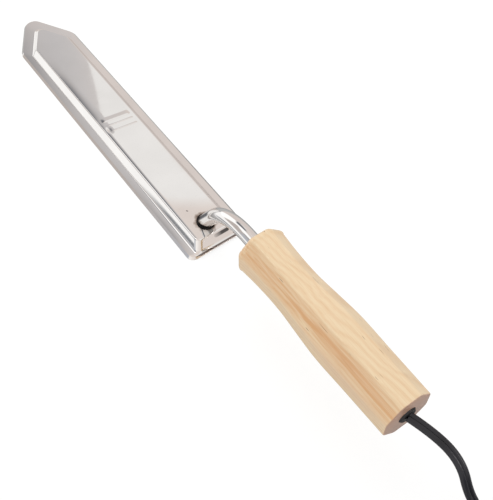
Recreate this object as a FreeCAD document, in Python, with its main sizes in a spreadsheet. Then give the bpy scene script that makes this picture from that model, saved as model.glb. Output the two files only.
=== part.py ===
import FreeCAD, Part
import Sketcher
import math
import os
import re
from FreeCAD import Placement, Rotation, Vector

# Electric uncapping knife, in millimetres. A closed stainless blade with a mica heater and a
# thermostat inside lies flat on the table. A bent tube carries the wooden handle above its heel,
# and a flat two-core cord leaves the back of the handle and ends in a coil and a plug.
# The origin is on the blade's underside, straight below the middle of the neck tube's foot.
# +X runs along the blade to its point, +Y is to the left and +Z is up.

SIZES = [
    ("blade_width", 45.0, "across the two cutting edges"),
    ("blade_straight", 234.7, "heel to the shoulders of the point"),
    ("blade_point", 38.5, "shoulders to where the two edges of the point would meet"),
    ("tip_radius", 8.0, "rounding of the point"),
    ("shoulder_radius", 14.0, "rounding where the sides turn into the point"),
    ("heel_radius", 5.0, "rounding of the two heel corners"),
    ("base_thickness", 1.0, "flat lower plate"),
    ("sheet_thickness", 0.8, "pressed upper sheet"),
    ("edge_bevel", 0.9, "ground bevel on the lower plate"),
    ("flange_bevel", 0.5, "ground bevel on the upper sheet"),
    ("plateau_height", 7.5, "table to the top of the raised part"),
    ("flange_width", 5.5, "flat rim along the sides"),
    ("tip_flange_width", 8.6, "flat rim along the point"),
    ("side_run", 4.0, "width of the sloping side walls seen from above"),
    ("heel_run", 6.3, "length of the sloping heel wall seen from above"),
    ("ridge_radius", 3.5, "rounding of the raised part's corners"),
    ("fold_radius", 1.2, "outer bend of the sheet along the raised part's top"),
    ("neck_setback", 17.0, "heel to the middle of the tube's foot"),
    ("neck_diameter", 9.5, "outside of the neck tube"),
    ("neck_wall", 1.0, "wall of the neck tube"),
    ("neck_angle", 57.0, "slope of the tube's foot, in degrees from the table"),
    ("neck_bend", 43.0, "radius of the tube's centre line in its bend"),
    ("neck_insert", 46.0, "length of tube inside the handle"),
    ("weld_spread", 2.6, "reach of the weld bead beyond the tube at its sides"),
    ("weld_rise", 1.8, "height of the weld bead"),
    ("handle_height", 43.8, "table to the handle's axis"),
    ("handle_setback", 56.0, "middle of the tube's foot to the handle's front"),
    ("handle_length", 124.5, "front to back of the handle"),
    ("handle_front_width", 32.7, "corner to corner at the front"),
    ("handle_neck_width", 30.0, "corner to corner between front and waist"),
    ("handle_waist_width", 29.2, "corner to corner at the waist"),
    ("handle_grip_width", 33.2, "corner to corner at the swell"),
    ("handle_rear_width", 31.8, "corner to corner at the back"),
    ("handle_neck_place", 17.0, "front to the narrowing"),
    ("handle_waist_place", 38.0, "front to the waist"),
    ("handle_grip_place", 68.0, "front to the swell"),
    ("facet_radius", 4.0, "rounding along the handle's eight edges"),
    ("handle_end_chamfer", 1.6, "broken edges of both ends of the handle"),
    ("bond_gap", 0.25, "glue between tube and wood"),
    ("chamber_diameter", 11.0, "bore from the back of the handle"),
    ("chamber_length", 74.0, "depth of that bore"),
    ("lead_diameter", 1.8, "insulated lead from handle to blade"),
    ("lead_spread", 1.6, "each lead beside the tube's centre line"),
    ("lead_bend", 6.0, "smallest bend of a lead"),
    ("lead_join_share", 0.3, "share of the neck's slope that lies below the leads' long bend"),
    ("lead_tail", 8.0, "lead between the tube's end and its crimp"),
    ("lead_stop", 0.5, "lead's end short of the thermostat case"),
    ("lead_lap", 3.5, "lead on its heater tab"),
    ("crimp_diameter", 2.6, "crimped joint between lead and cord core"),
    ("crimp_length", 9.0, "length of a crimped joint"),
    ("crimp_stagger", 13.0, "one crimp further back than the other"),
    ("shrink_wall", 0.3, "sleeve shrunk over a crimp"),
    ("shrink_overlap", 1.5, "sleeve beyond each end of a crimp"),
    ("core_diameter", 2.1, "insulated core of the cord"),
    ("cord_width", 5.8, "flat two-core cord, across both cores"),
    ("clamp_length", 6.0, "nylon cord stop inside the handle"),
    ("clamp_play", 0.2, "cord stop in its bore"),
    ("bushing_length", 12.0, "rubber bushing inside the handle"),
    ("bushing_lip", 1.0, "rubber bushing behind the handle"),
    ("bushing_chamfer", 0.8, "broken edge of the bushing's lip"),
    ("heater_start", 62.0, "heel to the heater's core"),
    ("heater_end", 218.0, "heel to the heater's other end"),
    ("heater_width", 16.0, "core that carries the winding"),
    ("core_thickness", 0.8, "core that carries the winding"),
    ("core_bare_end", 7.0, "core left bare for the tabs"),
    ("mica_margin", 1.5, "cover sheets beyond the core at each side"),
    ("mica_thickness", 0.3, "cover sheets"),
    ("ribbon_thickness", 0.3, "resistance ribbon"),
    ("ribbon_width", 1.5, "resistance ribbon"),
    ("ribbon_pitch", 5.0, "one turn of the winding to the next"),
    ("ribbon_turns", 29, "turns in the winding"),
    ("tab_width", 3.0, "tab at the end of the winding"),
    ("tab_length", 5.0, "tab at the end of the winding"),
    ("tab_thickness", 0.4, "tab at the end of the winding"),
    ("tab_spread", 5.0, "each tab beside the blade's middle"),
    ("tab_margin", 0.5, "end of the core to the tab"),
    ("case_start", 30.0, "heel to the thermostat"),
    ("case_length", 26.0, "thermostat case"),
    ("case_width", 12.6, "thermostat case"),
    ("case_wall", 0.9, "thermostat case"),
    ("case_floor", 1.3, "thermostat case"),
    ("cover_thickness", 0.5, "thermostat cover"),
    ("strip_width", 4.0, "terminal strips of the thermostat"),
    ("strip_thickness", 0.5, "terminal strips of the thermostat"),
    ("strip_reach", 4.0, "terminal strips outside the case"),
    ("strip_end", 2.0, "supply strip beyond the pivot"),
    ("slot_play", 0.05, "terminal strips in their slots"),
    ("pivot_place", 5.0, "front of the case to the arm's pivot"),
    ("pivot_diameter", 1.2, "pin that the contact arm turns on"),
    ("pivot_play", 0.05, "pin in the arm's eye, all round"),
    ("eye_wall", 0.4, "rolled eye of the contact arm"),
    ("arm_width", 4.0, "contact arm"),
    ("arm_thickness", 0.4, "contact arm"),
    ("arm_reach", 16.5, "pivot to the arm's free end"),
    ("contact_place", 15.0, "pivot to the contacts"),
    ("contact_diameter", 2.4, "silver contacts"),
    ("contact_thickness", 0.5, "silver contacts"),
    ("contact_gap", 0.05, "between the closed contacts"),
    ("post_wall", 0.9, "ears that hold the pivot pin"),
    ("post_length", 2.4, "ears that hold the pivot pin"),
    ("post_rise", 1.0, "ears above the middle of the pivot pin"),
    ("post_play", 0.3, "ears beside the arm's eye"),
    ("pad_play", 0.1, "glass fibre pad under the sheet"),
    ("coil_radius", 29.5, "middle of the coil's turns"),
    ("coil_band", 11.6, "width of the bundle of turns"),
    ("coil_height", 14.5, "height of the bundle of turns"),
    ("coil_round", 3.0, "rounding of the bundle"),
    ("coil_place", 282.0, "origin back to the middle of the coil"),
    ("coil_offset", 4.0, "middle of the coil to the right of the knife"),
    ("tie_width", 8.0, "band round the coil"),
    ("tie_wall", 0.8, "band round the coil"),
    ("tie_play", 0.3, "band round the coil"),
    ("relief_length", 20.0, "tapered sleeve behind the plug"),
    ("relief_diameter", 9.5, "tapered sleeve where it meets the plug"),
    ("relief_wall", 0.4, "tapered sleeve at its thin end"),
    ("plug_length", 28.0, "plug body"),
    ("plug_width", 33.0, "plug body"),
    ("plug_height", 13.6, "plug body"),
    ("plug_round", 5.0, "corners of the plug body"),
    ("plug_edge", 1.5, "broken edges of the plug body"),
    ("pin_diameter", 4.0, "plug pins"),
    ("pin_spacing", 19.0, "middle to middle of the plug pins"),
    ("pin_bare", 9.0, "bare metal end of a pin"),
    ("pin_sleeved", 10.0, "insulated part of a pin outside the body"),
    ("pin_root", 8.0, "pin inside the body"),
    ("pin_neck", 3.0, "metal under the insulation"),
]
HANDLE_SIDES = 8
ARC_SHARE = 0.45  # of the shorter run, taken by an arc of a cord
CUT_REACH = 4  # diameters by which a cutting tool runs past the tube
ROUGH_RADIUS = 90.0  # circle on which the corners of an outline start
FLAT = 1e-4  # height within which an edge counts as level

doc = FreeCAD.newDocument("UncappingKnife")
sheet = doc.addObject("Spreadsheet::Sheet", "Sizes")
for row, (name, value, meaning) in enumerate(SIZES, start=1):
    sheet.set("A%d" % row, name)
    sheet.set("B%d" % row, str(value))
    sheet.set("C%d" % row, meaning)
    sheet.setAlias("B%d" % row, name)
doc.recompute()
size = {name: float(getattr(sheet, name)) for name, value, meaning in SIZES}
nodes = []


def cells(formula):
    """Every word with an underscore in a formula is a cell of the sheet."""
    return re.sub(r"[a-z]+(?:_[a-z]+)+", r"Sizes.\g<0>", formula)


def bind(feature, place, formula):
    feature.setExpression(place, cells(formula))


def node(feature, label):
    """Marks a finished sub-part, which is written to a file of that name."""
    feature.Label = label
    nodes.append(feature)
    return feature


# Part primitives and booleans

def box(name, corner, lengths):
    feature = doc.addObject("Part::Box", name)
    for axis, formula in zip("xyz", corner):
        bind(feature, "Placement.Base." + axis, formula)
    for side, formula in zip(("Length", "Width", "Height"), lengths):
        bind(feature, side, formula)
    return feature


def middle_box(name, start, middle, bottom, lengths):
    """A box from start along X, centred across on middle, standing on bottom."""
    corner = (start, "%s - (%s) / 2" % (middle, lengths[1]), bottom)
    return box(name, corner, lengths)


def cylinder(name, foot, radius, length, direction):
    feature = doc.addObject("Part::Cylinder", name)
    feature.Placement = Placement(Vector(), Rotation(Vector(0, 0, 1), Vector(*direction)))
    for axis, formula in zip("xyz", foot):
        bind(feature, "Placement.Base." + axis, formula)
    bind(feature, "Radius", radius)
    bind(feature, "Height", length)
    return feature


def cut(name, base, tools, refine=True):
    for number, tool in enumerate(tools, start=1):
        feature = doc.addObject("Part::Cut", "%s_cut_%d" % (name, number))
        feature.Base = base
        feature.Tool = tool
        feature.Refine = refine
        base = feature
    return base


def fuse(name, shapes):
    feature = doc.addObject("Part::MultiFuse", name + "_fused")
    feature.Shapes = shapes
    feature.Refine = True
    return feature


# PartDesign bodies

def new_body(name):
    return doc.addObject("PartDesign::Body", name)


def origin_plane(body, role):
    return [plane for plane in body.Origin.OriginFeatures if plane.Role == role][0]


def new_sketch(body, name, role, height):
    sketch = body.newObject("Sketcher::SketchObject", name)
    sketch.AttachmentSupport = [(origin_plane(body, role), "")]
    sketch.MapMode = "FlatFace"
    bind(sketch, "AttachmentOffset.Base.z", height)
    return sketch


def polygon(sketch, corners):
    """Closed outline through corners, each a pair of formulas. Every corner starts on a circle
    and is moved to its place by its two constraints."""
    count = len(corners)
    first = sketch.GeometryCount
    turn = 2 * math.pi / count
    rough = [Vector(math.cos(turn * i), math.sin(turn * i), 0) * ROUGH_RADIUS
             for i in range(count)]
    for i in range(count):
        sketch.addGeometry(Part.LineSegment(rough[i], rough[(i + 1) % count]))
    for i in range(count):
        following = first + (i + 1) % count
        sketch.addConstraint(Sketcher.Constraint("Coincident", first + i, 2, following, 1))
    for i, corner in enumerate(corners):
        for kind, start, formula in zip(("DistanceX", "DistanceY"), rough[i], corner):
            constraint = Sketcher.Constraint(kind, -1, 1, first + i, 1, start)
            number = sketch.addConstraint(constraint)
            bind(sketch, "Constraints[%d]" % number, formula)


def circle(sketch, radius, centre=("0", "0")):
    number = sketch.addGeometry(Part.Circle(Vector(1, 1, 0), Vector(0, 0, 1), 1))
    held = sketch.addConstraint(Sketcher.Constraint("Radius", number, 1.0))
    bind(sketch, "Constraints[%d]" % held, radius)
    for kind, formula in zip(("DistanceX", "DistanceY"), centre):
        held = sketch.addConstraint(Sketcher.Constraint(kind, -1, 1, number, 3, 1.0))
        bind(sketch, "Constraints[%d]" % held, formula)


def pad(body, sketch, length):
    feature = body.newObject("PartDesign::Pad", sketch.Name + "_pad")
    feature.Profile = sketch
    bind(feature, "Length", length)
    return feature


def loft(body, kind, lower, upper):
    feature = body.newObject("PartDesign::" + kind, lower.Name + "_loft")
    feature.Profile = lower
    feature.Sections = [upper]
    feature.Ruled = True
    return feature


def edge_names(feature, wanted):
    doc.recompute()
    edges = enumerate(feature.Shape.Edges, start=1)
    return ["Edge%d" % number for number, edge in edges if wanted(edge)]


def fillet(body, name, base, radius, wanted):
    feature = body.newObject("PartDesign::Fillet", name)
    feature.Base = (base, edge_names(base, wanted))
    bind(feature, "Radius", radius)
    return feature


def chamfer(body, name, base, width, wanted):
    feature = body.newObject("PartDesign::Chamfer", name)
    feature.Base = (base, edge_names(base, wanted))
    bind(feature, "Size", width)
    return feature


def level(edge):
    return edge.BoundBox.ZLength < FLAT


def upright(edge):
    run = edge.BoundBox
    return not level(edge) and max(run.XLength, run.YLength) < FLAT


def flat_at(height):
    return lambda edge: level(edge) and abs(edge.BoundBox.ZMin - height) < FLAT


# Swept pieces, whose paths run in any direction

def rounded_path(points, radius=None, report=None):
    """Straight runs joined by tangent arcs. With no radius, each arc is as large as its two
    runs allow: a share of the shorter one, divided by the tangent of half the turn."""
    edges = []
    start = points[0]
    radii = []
    for before, corner, after in zip(points, points[1:], points[2:]):
        back = before - corner
        ahead = after - corner
        shorter = min(back.Length, ahead.Length)
        back.normalize()
        ahead.normalize()
        half_turn = (math.pi - back.getAngle(ahead)) / 2
        bend = radius or ARC_SHARE * shorter / math.tan(half_turn)
        reach = bend * math.tan(half_turn)
        inward = (back + ahead).normalize()
        centre = corner + inward * (bend / math.cos(half_turn))
        entry = corner + back * reach
        leave = corner + ahead * reach
        edges.append(Part.LineSegment(start, entry).toShape())
        edges.append(Part.Arc(entry, centre - inward * bend, leave).toShape())
        start = leave
        radii.append(bend)
    edges.append(Part.LineSegment(start, points[-1]).toShape())
    if report:
        print(report, "bend radii:", " ".join("%.1f" % bend for bend in radii))
    return Part.Wire(edges)


def swept(path, diameter):
    start = path.Edges[0]
    ring = Part.Circle(start.valueAt(start.FirstParameter), start.tangentAt(0), diameter / 2)
    return path.makePipeShell([Part.Wire(ring.toShape())], True, False)


def feature_of(shape, label):
    feature = doc.addObject("Part::Feature", label)
    feature.Shape = shape
    return node(feature, label)


# Blade

def fold_corners(half_width, heel, tip_rim):
    """Five corners of a fold line that runs round the raised part, as formulas. The two edges
    of the point fall by slope for every millimetre, and tip_rim is measured square to them."""
    slope = "(blade_width / 2 / blade_point)"
    tip_rise = "(%s) * sqrt(1 + %s ^ 2)" % (tip_rim, slope)
    shoulder = "blade_straight - neck_setback + (blade_width / 2 - (%s) - %s) / %s" % (
        half_width, tip_rise, slope)
    point = "blade_straight - neck_setback + (blade_width / 2 - %s) / %s" % (tip_rise, slope)
    back = "(%s) - neck_setback" % heel
    return [
        (back, "-(%s)" % half_width),
        (shoulder, "-(%s)" % half_width),
        (point, "0"),
        (shoulder, half_width),
        (back, half_width),
    ]


def blade_plate(body, name, bottom, thickness, inset):
    """The blade's outline as a flat plate, inset from the cutting edge, with rounded corners."""
    outline = new_sketch(body, name, "XY_Plane", bottom)
    polygon(outline, fold_corners("blade_width / 2 - " + inset, inset, inset))
    plate = pad(body, outline, thickness)
    heel_x = size["heel_radius"] - size["neck_setback"]
    tip_x = size["blade_straight"] + size["tip_radius"] - size["neck_setback"]
    middle = (heel_x + tip_x) / 2

    def heel_edge(edge):
        return upright(edge) and edge.BoundBox.XMax < heel_x

    def shoulder_edge(edge):
        return upright(edge) and middle < edge.BoundBox.XMax < tip_x

    def tip_edge(edge):
        return upright(edge) and edge.BoundBox.XMax > tip_x

    plate = fillet(body, name + "_heel", plate, "heel_radius", heel_edge)
    plate = fillet(body, name + "_shoulder", plate, "shoulder_radius", shoulder_edge)
    return fillet(body, name + "_tip", plate, "tip_radius", tip_edge)


def base_plate():
    body = new_body("BasePlate")
    plate = blade_plate(body, "base_outline", "0", "base_thickness", "0")
    chamfer(body, "base_bevel", plate, "edge_bevel", flat_at(size["base_thickness"]))
    return node(body, "base_plate")


def raised_corners(inner_wall, drop):
    """Fold line of the raised part, drop below its top, inner_wall (a share of the sheet)
    inside its outer face."""
    rise = "(plateau_height - base_thickness)"
    side = "blade_width / 2 - flange_width - side_run * (1 - (%s) / %s)" % (drop, rise)
    tip = "tip_flange_width + side_run * (1 - (%s) / %s)" % (drop, rise)
    heel = "edge_bevel + (heel_run - edge_bevel) * (1 - (%s) / %s)" % (drop, rise)
    side_wall = "%s * sheet_thickness * sqrt(1 + (side_run / %s) ^ 2)" % (inner_wall, rise)
    heel_wall = "%s * sheet_thickness * sqrt(1 + ((heel_run - edge_bevel) / %s) ^ 2)" % (
        inner_wall, rise)
    return fold_corners(
        "%s - %s" % (side, side_wall), "%s + %s" % (heel, heel_wall), "%s + %s" % (tip, side_wall))


def blade_shell():
    body = new_body("BladeShell")
    rim = blade_plate(body, "shell_outline", "base_thickness", "sheet_thickness", "edge_bevel")
    rim_top = size["base_thickness"] + size["sheet_thickness"]
    chamfer(body, "shell_bevel", rim, "flange_bevel", flat_at(rim_top))
    rise = "plateau_height - base_thickness"
    lower = new_sketch(body, "raised_foot", "XY_Plane", "base_thickness")
    polygon(lower, raised_corners("0", rise))
    upper = new_sketch(body, "raised_top", "XY_Plane", "plateau_height")
    polygon(upper, raised_corners("0", "0"))
    raised = loft(body, "AdditiveLoft", lower, upper)
    top = size["plateau_height"]

    def ridge(edge):
        return edge.BoundBox.ZMax > top - FLAT and edge.BoundBox.ZLength > size["fold_radius"]

    raised = fillet(body, "ridge_round", raised, "ridge_radius", ridge)
    raised = fillet(body, "fold_round", raised, "fold_radius", flat_at(top))
    hollow = new_body("BladeHollow")
    inner_lower = new_sketch(hollow, "hollow_foot", "XY_Plane", "0")
    polygon(inner_lower, raised_corners("1", "plateau_height"))
    inner_upper = new_sketch(hollow, "hollow_top", "XY_Plane", "plateau_height - sheet_thickness")
    polygon(inner_upper, raised_corners("1", "sheet_thickness"))
    loft(hollow, "AdditiveLoft", inner_lower, inner_upper)
    wire_hole = cylinder("wire_hole", ("0", "0", "base_thickness"),
                         "neck_diameter / 2 - neck_wall", "plateau_height", (0, 0, 1))
    return node(cut("blade_shell", body, [hollow, wire_hole], refine=False), "blade_shell")


# Neck tube, its weld and its glue

def neck_points(foot_height, offset=0.0):
    """Centre line of the neck from a height below or at its foot, along its slope, up to the
    handle's axis and back into the handle. offset shifts it sideways."""
    slope = math.tan(math.radians(size["neck_angle"]))
    foot = Vector((size["plateau_height"] - foot_height) / slope, offset, foot_height)
    climb = (size["handle_height"] - size["plateau_height"]) / slope
    corner = Vector(-climb, offset, size["handle_height"])
    end_x = -size["handle_setback"] - size["neck_insert"]
    return [foot, corner, Vector(end_x, offset, size["handle_height"])]


def neck_tube():
    """The tube's foot is cut level, so that it stands on the blade's raised top."""
    path = rounded_path(neck_points(-size["neck_diameter"]), size["neck_bend"])
    bore = size["neck_diameter"] - 2 * size["neck_wall"]
    tube = swept(path, size["neck_diameter"]).cut(swept(path, bore))
    reach = CUT_REACH * size["neck_diameter"]
    below = Part.makeBox(2 * reach, 2 * reach, reach + size["plateau_height"])
    below.translate(Vector(-reach, -reach, -reach))
    return feature_of(tube.cut(below), "neck_tube")


def neck_weld():
    bead = doc.addObject("Part::Cone", "weld_bead")
    bind(bead, "Placement.Base.z", "plateau_height")
    bind(bead, "Radius1", "neck_diameter / 2 + weld_spread")
    bind(bead, "Radius2", "neck_diameter / 2 + weld_spread / 2")
    bind(bead, "Height", "weld_rise")
    angle = math.radians(size["neck_angle"])
    along = (-math.cos(angle), 0, math.sin(angle))
    foot = ("neck_diameter / tan(neck_angle)", "0", "plateau_height - neck_diameter")
    tube = cylinder("weld_inside", foot, "neck_diameter / 2",
                    "%d * neck_diameter" % CUT_REACH, along)
    return node(cut("neck_weld", bead, [tube]), "neck_weld")


def bond_sleeve():
    back = "-handle_setback - neck_insert"
    outer = cylinder("bond_outer", (back, "0", "handle_height"),
                     "neck_diameter / 2 + bond_gap", "neck_insert", (1, 0, 0))
    inner = cylinder("bond_inner", (back, "0", "handle_height"),
                     "neck_diameter / 2", "neck_insert", (1, 0, 0))
    return node(cut("bond_sleeve", outer, [inner]), "bond_sleeve")


# Handle

def handle():
    """Eight-sided wooden handle with flats above, below and at the sides, drawn in to a waist
    behind its front end."""
    sections = [
        ("0", "handle_front_width - 2 * handle_end_chamfer"),
        ("handle_end_chamfer", "handle_front_width"),
        ("handle_neck_place", "handle_neck_width"),
        ("handle_waist_place", "handle_waist_width"),
        ("(handle_waist_place + handle_grip_place) / 2",
         "(handle_waist_width + handle_grip_width) / 2"),
        ("handle_grip_place", "handle_grip_width"),
        ("handle_length - handle_end_chamfer", "handle_rear_width"),
        ("handle_length", "handle_rear_width - 2 * handle_end_chamfer"),
    ]
    half_side = Rotation(Vector(0, 0, 1), 180 / HANDLE_SIDES)
    turned = Rotation(Vector(0, 1, 0), -90).multiply(half_side)
    outlines = []
    for number, (place, width) in enumerate(sections):
        outline = doc.addObject("Part::RegularPolygon", "handle_section_%d" % number)
        outline.Polygon = HANDLE_SIDES
        outline.Placement = Placement(Vector(), turned)
        bind(outline, "Circumradius", "(%s) / 2" % width)
        bind(outline, "Placement.Base.x", "-handle_setback - (%s)" % place)
        bind(outline, "Placement.Base.z", "handle_height")
        outlines.append(outline)
    pieces = []
    for number, run in enumerate((outlines[:2], outlines[1:7], outlines[6:])):
        piece = doc.addObject("Part::Loft", "handle_run_%d" % number)
        piece.Sections = run
        piece.Solid = True
        piece.Ruled = len(run) == 2
        pieces.append(piece)
    blank = fuse("handle_blank", pieces)
    doc.recompute()
    facets = doc.addObject("Part::Fillet", "handle_facets")
    facets.Base = blank
    radius = size["facet_radius"]
    facets.Edges = [(number, radius, radius) for number, edge in enumerate(blank.Shape.Edges, start=1)
                    if edge.BoundBox.XLength > size["handle_length"] / 2]
    front = cylinder("tube_hole", ("-handle_setback - neck_insert", "0", "handle_height"),
                     "neck_diameter / 2 + bond_gap", "neck_insert", (1, 0, 0))
    rear = cylinder("chamber", ("-handle_setback - handle_length", "0", "handle_height"),
                    "chamber_diameter / 2", "chamber_length", (1, 0, 0))
    link = cylinder("wire_way", ("-handle_setback - handle_length", "0", "handle_height"),
                    "neck_diameter / 2 - neck_wall", "handle_length", (1, 0, 0))
    return node(cut("handle", facets, [front, rear, link]), "handle")


# Wiring from the cord to the heater

def strip_top():
    return size["base_thickness"] + size["case_floor"] + size["strip_thickness"]


def lead(label, offset, after_foot):
    """A lead from its crimp through the neck into the blade, then through after_foot."""
    run_height = after_foot[0].z
    foot, corner, tube_end = neck_points(run_height, offset)
    crimp_end = tube_end - Vector(size["lead_tail"], 0, 0)
    if offset < 0:
        crimp_end -= Vector(size["crimp_stagger"], 0, 0)
    join = foot + (corner - foot) * size["lead_join_share"]
    upper = rounded_path([crimp_end, corner, join], size["neck_bend"])
    lower = rounded_path([join, foot] + after_foot, size["lead_bend"])
    path = Part.Wire(upper.Edges + lower.Edges)
    return feature_of(swept(path, size["lead_diameter"]), label)


def live_lead():
    height = strip_top() + size["lead_diameter"] / 2
    end_x = size["case_start"] - size["neck_setback"] - size["lead_stop"]
    return lead("live_lead", size["lead_spread"], [Vector(end_x, 0, height)])


def tab_end(side):
    """End of a lead that lies on the heater tab of the left (1) or right (-1) side."""
    tab_x = size["heater_start"] + size["tab_margin"] - size["neck_setback"]
    height = core_top() + size["tab_thickness"] + size["lead_diameter"] / 2
    return Vector(tab_x + size["lead_lap"], side * size["tab_spread"], height)


def neutral_lead():
    """Passes the thermostat on the right and ends on the neutral tab."""
    end = tab_end(-1)
    case_x = size["case_start"] - size["neck_setback"]
    side_y = -size["case_width"] / 2 - size["lead_diameter"]
    beside = Vector(case_x - size["lead_stop"], side_y, end.z)
    past = Vector(case_x + size["case_length"], side_y, end.z)
    return lead("neutral_lead", -size["lead_spread"], [beside, past, end])


def link_lead():
    height = strip_top() + size["lead_diameter"] / 2
    case_end = size["case_start"] + size["case_length"] - size["neck_setback"]
    start = Vector(case_end + size["lead_stop"], 0, height)
    wire = Part.Wire(Part.LineSegment(start, tab_end(1)).toShape())
    return feature_of(swept(wire, size["lead_diameter"]), "link_lead")


def wire_joint(side, offset, place):
    """Crimp between a lead and a core of the cord, the sleeve shrunk over it and the core, which
    runs on to the cord's sheath. place is the lead's end, as a formula."""
    height = "handle_height"
    back = "%s - crimp_length" % place
    crimp = cylinder(side + "_joint", (back, offset, height),
                     "crimp_diameter / 2", "crimp_length", (1, 0, 0))
    node(crimp, side + "_crimp")
    sleeve_foot = ("%s - shrink_overlap" % back, offset, height)
    sleeve_length = "crimp_length + 2 * shrink_overlap"
    outer = cylinder(side + "_sleeve", sleeve_foot,
                     "crimp_diameter / 2 + shrink_wall", sleeve_length, (1, 0, 0))
    inner = cylinder(side + "_sleeve_bore", sleeve_foot,
                     "crimp_diameter / 2", sleeve_length, (1, 0, 0))
    node(cut(side + "_shrink", outer, [inner]), side + "_shrink")
    sheath = "(-handle_setback - handle_length + bushing_length + 2 * clamp_length)"
    core = cylinder(side + "_conductor", (sheath, offset, height),
                    "core_diameter / 2", "%s - %s" % (back, sheath), (1, 0, 0))
    node(core, side + "_core")


def wire_joints():
    tube_end = "-handle_setback - neck_insert - lead_tail"
    wire_joint("live", "lead_spread", tube_end)
    wire_joint("neutral", "-lead_spread", tube_end + " - crimp_stagger")


def cord_entry():
    """The sheath's stretch inside the handle, its nylon stop and the rubber bushing."""
    back = "-handle_setback - handle_length"
    height = "handle_height"
    sheath = cylinder("sheath", ("%s - bushing_lip" % back, "0", height), "cord_width / 2",
                      "bushing_lip + bushing_length + 2 * clamp_length", (1, 0, 0))
    node(sheath, "cord_inner")
    stop_foot = ("%s + bushing_length" % back, "0", height)
    stop = cylinder("stop", stop_foot, "chamber_diameter / 2 - clamp_play",
                    "clamp_length", (1, 0, 0))
    stop_hole = cylinder("stop_hole", stop_foot, "cord_width / 2", "clamp_length", (1, 0, 0))
    node(cut("cord_clamp", stop, [stop_hole]), "cord_clamp")
    plain = cylinder("bushing", (back, "0", height),
                     "chamber_diameter / 2", "bushing_length", (1, 0, 0))
    lip = doc.addObject("Part::Cone", "bushing_end")
    lip.Placement = Placement(Vector(), Rotation(Vector(0, 0, 1), Vector(-1, 0, 0)))
    bind(lip, "Placement.Base.x", back)
    bind(lip, "Placement.Base.z", height)
    bind(lip, "Radius1", "chamber_diameter / 2")
    bind(lip, "Radius2", "chamber_diameter / 2 - bushing_chamfer")
    bind(lip, "Height", "bushing_lip")
    hole = cylinder("bushing_hole", ("%s - bushing_lip" % back, "0", height),
                    "cord_width / 2", "bushing_lip + bushing_length", (1, 0, 0))
    node(cut("cord_bushing", fuse("bushing", [plain, lip]), [hole]), "cord_bushing")


# Heater

def core_top():
    layers = ("base_thickness", "mica_thickness", "ribbon_thickness", "core_thickness")
    return sum(size[name] for name in layers)


def heater():
    start = "heater_start - neck_setback"
    covered = "heater_start + core_bare_end - neck_setback"
    length = "heater_end - heater_start"
    covered_length = "heater_end - heater_start - core_bare_end"
    wide = "heater_width + 2 * mica_margin"
    under_core = "base_thickness + mica_thickness + ribbon_thickness"
    over_core = under_core + " + core_thickness"
    over_ribbon = over_core + " + ribbon_thickness"
    node(middle_box("lower_sheet", start, "0", "base_thickness",
                    (length, wide, "mica_thickness")), "lower_mica")
    node(middle_box("core", start, "0", under_core,
                    (length, "heater_width", "core_thickness")), "heater_core")
    node(middle_box("upper_sheet", covered, "0", over_ribbon,
                    (covered_length, wide, "mica_thickness")), "upper_mica")
    pad_height = "plateau_height - sheet_thickness - pad_play - (%s + mica_thickness)" % over_ribbon
    node(middle_box("pad", covered, "0", over_ribbon + " + mica_thickness",
                    (covered_length, wide, pad_height)), "glass_fibre_pad")
    for side, middle in (("live", "tab_spread"), ("neutral", "-tab_spread")):
        node(middle_box(side + "_tab", start + " + tab_margin", middle, over_core,
                        ("tab_length", "tab_width", "tab_thickness")), side + "_heater_tab")


def heater_ribbon():
    """Flat ribbon wound round the core: one turn and the step to the next, repeated."""
    body = new_body("HeaterRibbon")
    first = "heater_start + core_bare_end + ribbon_width - neck_setback"
    under = "base_thickness + mica_thickness"
    over = under + " + core_thickness + 2 * ribbon_thickness"
    inner = "heater_width / 2"
    outer = inner + " + ribbon_thickness"
    turn = new_sketch(body, "ribbon_turn", "YZ_Plane", first)
    polygon(turn, [("-(%s)" % outer, under), (outer, under), (outer, over),
                   ("-(%s)" % outer, over)])
    polygon(turn, [("-(%s)" % inner, under + " + ribbon_thickness"),
                   (inner, under + " + ribbon_thickness"),
                   (inner, over + " - ribbon_thickness"),
                   ("-(%s)" % inner, over + " - ribbon_thickness")])
    ring = pad(body, turn, "ribbon_width")
    step = new_sketch(body, "ribbon_step", "YZ_Plane", first)
    polygon(step, [(inner, under), (outer, under), (outer, over), (inner, over)])
    step_pad = pad(body, step, "ribbon_pitch")
    doc.recompute()
    pattern = body.newObject("PartDesign::LinearPattern", "ribbon_turns")
    pattern.Originals = [ring, step_pad]
    pattern.Direction = (origin_plane(body, "YZ_Plane"), [""])
    pattern.Occurrences = int(size["ribbon_turns"])
    bind(pattern, "Length", "ribbon_pitch * (ribbon_turns - 1)")
    body.Tip = pattern
    return node(body, "heater_ribbon")


# Thermostat

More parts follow.
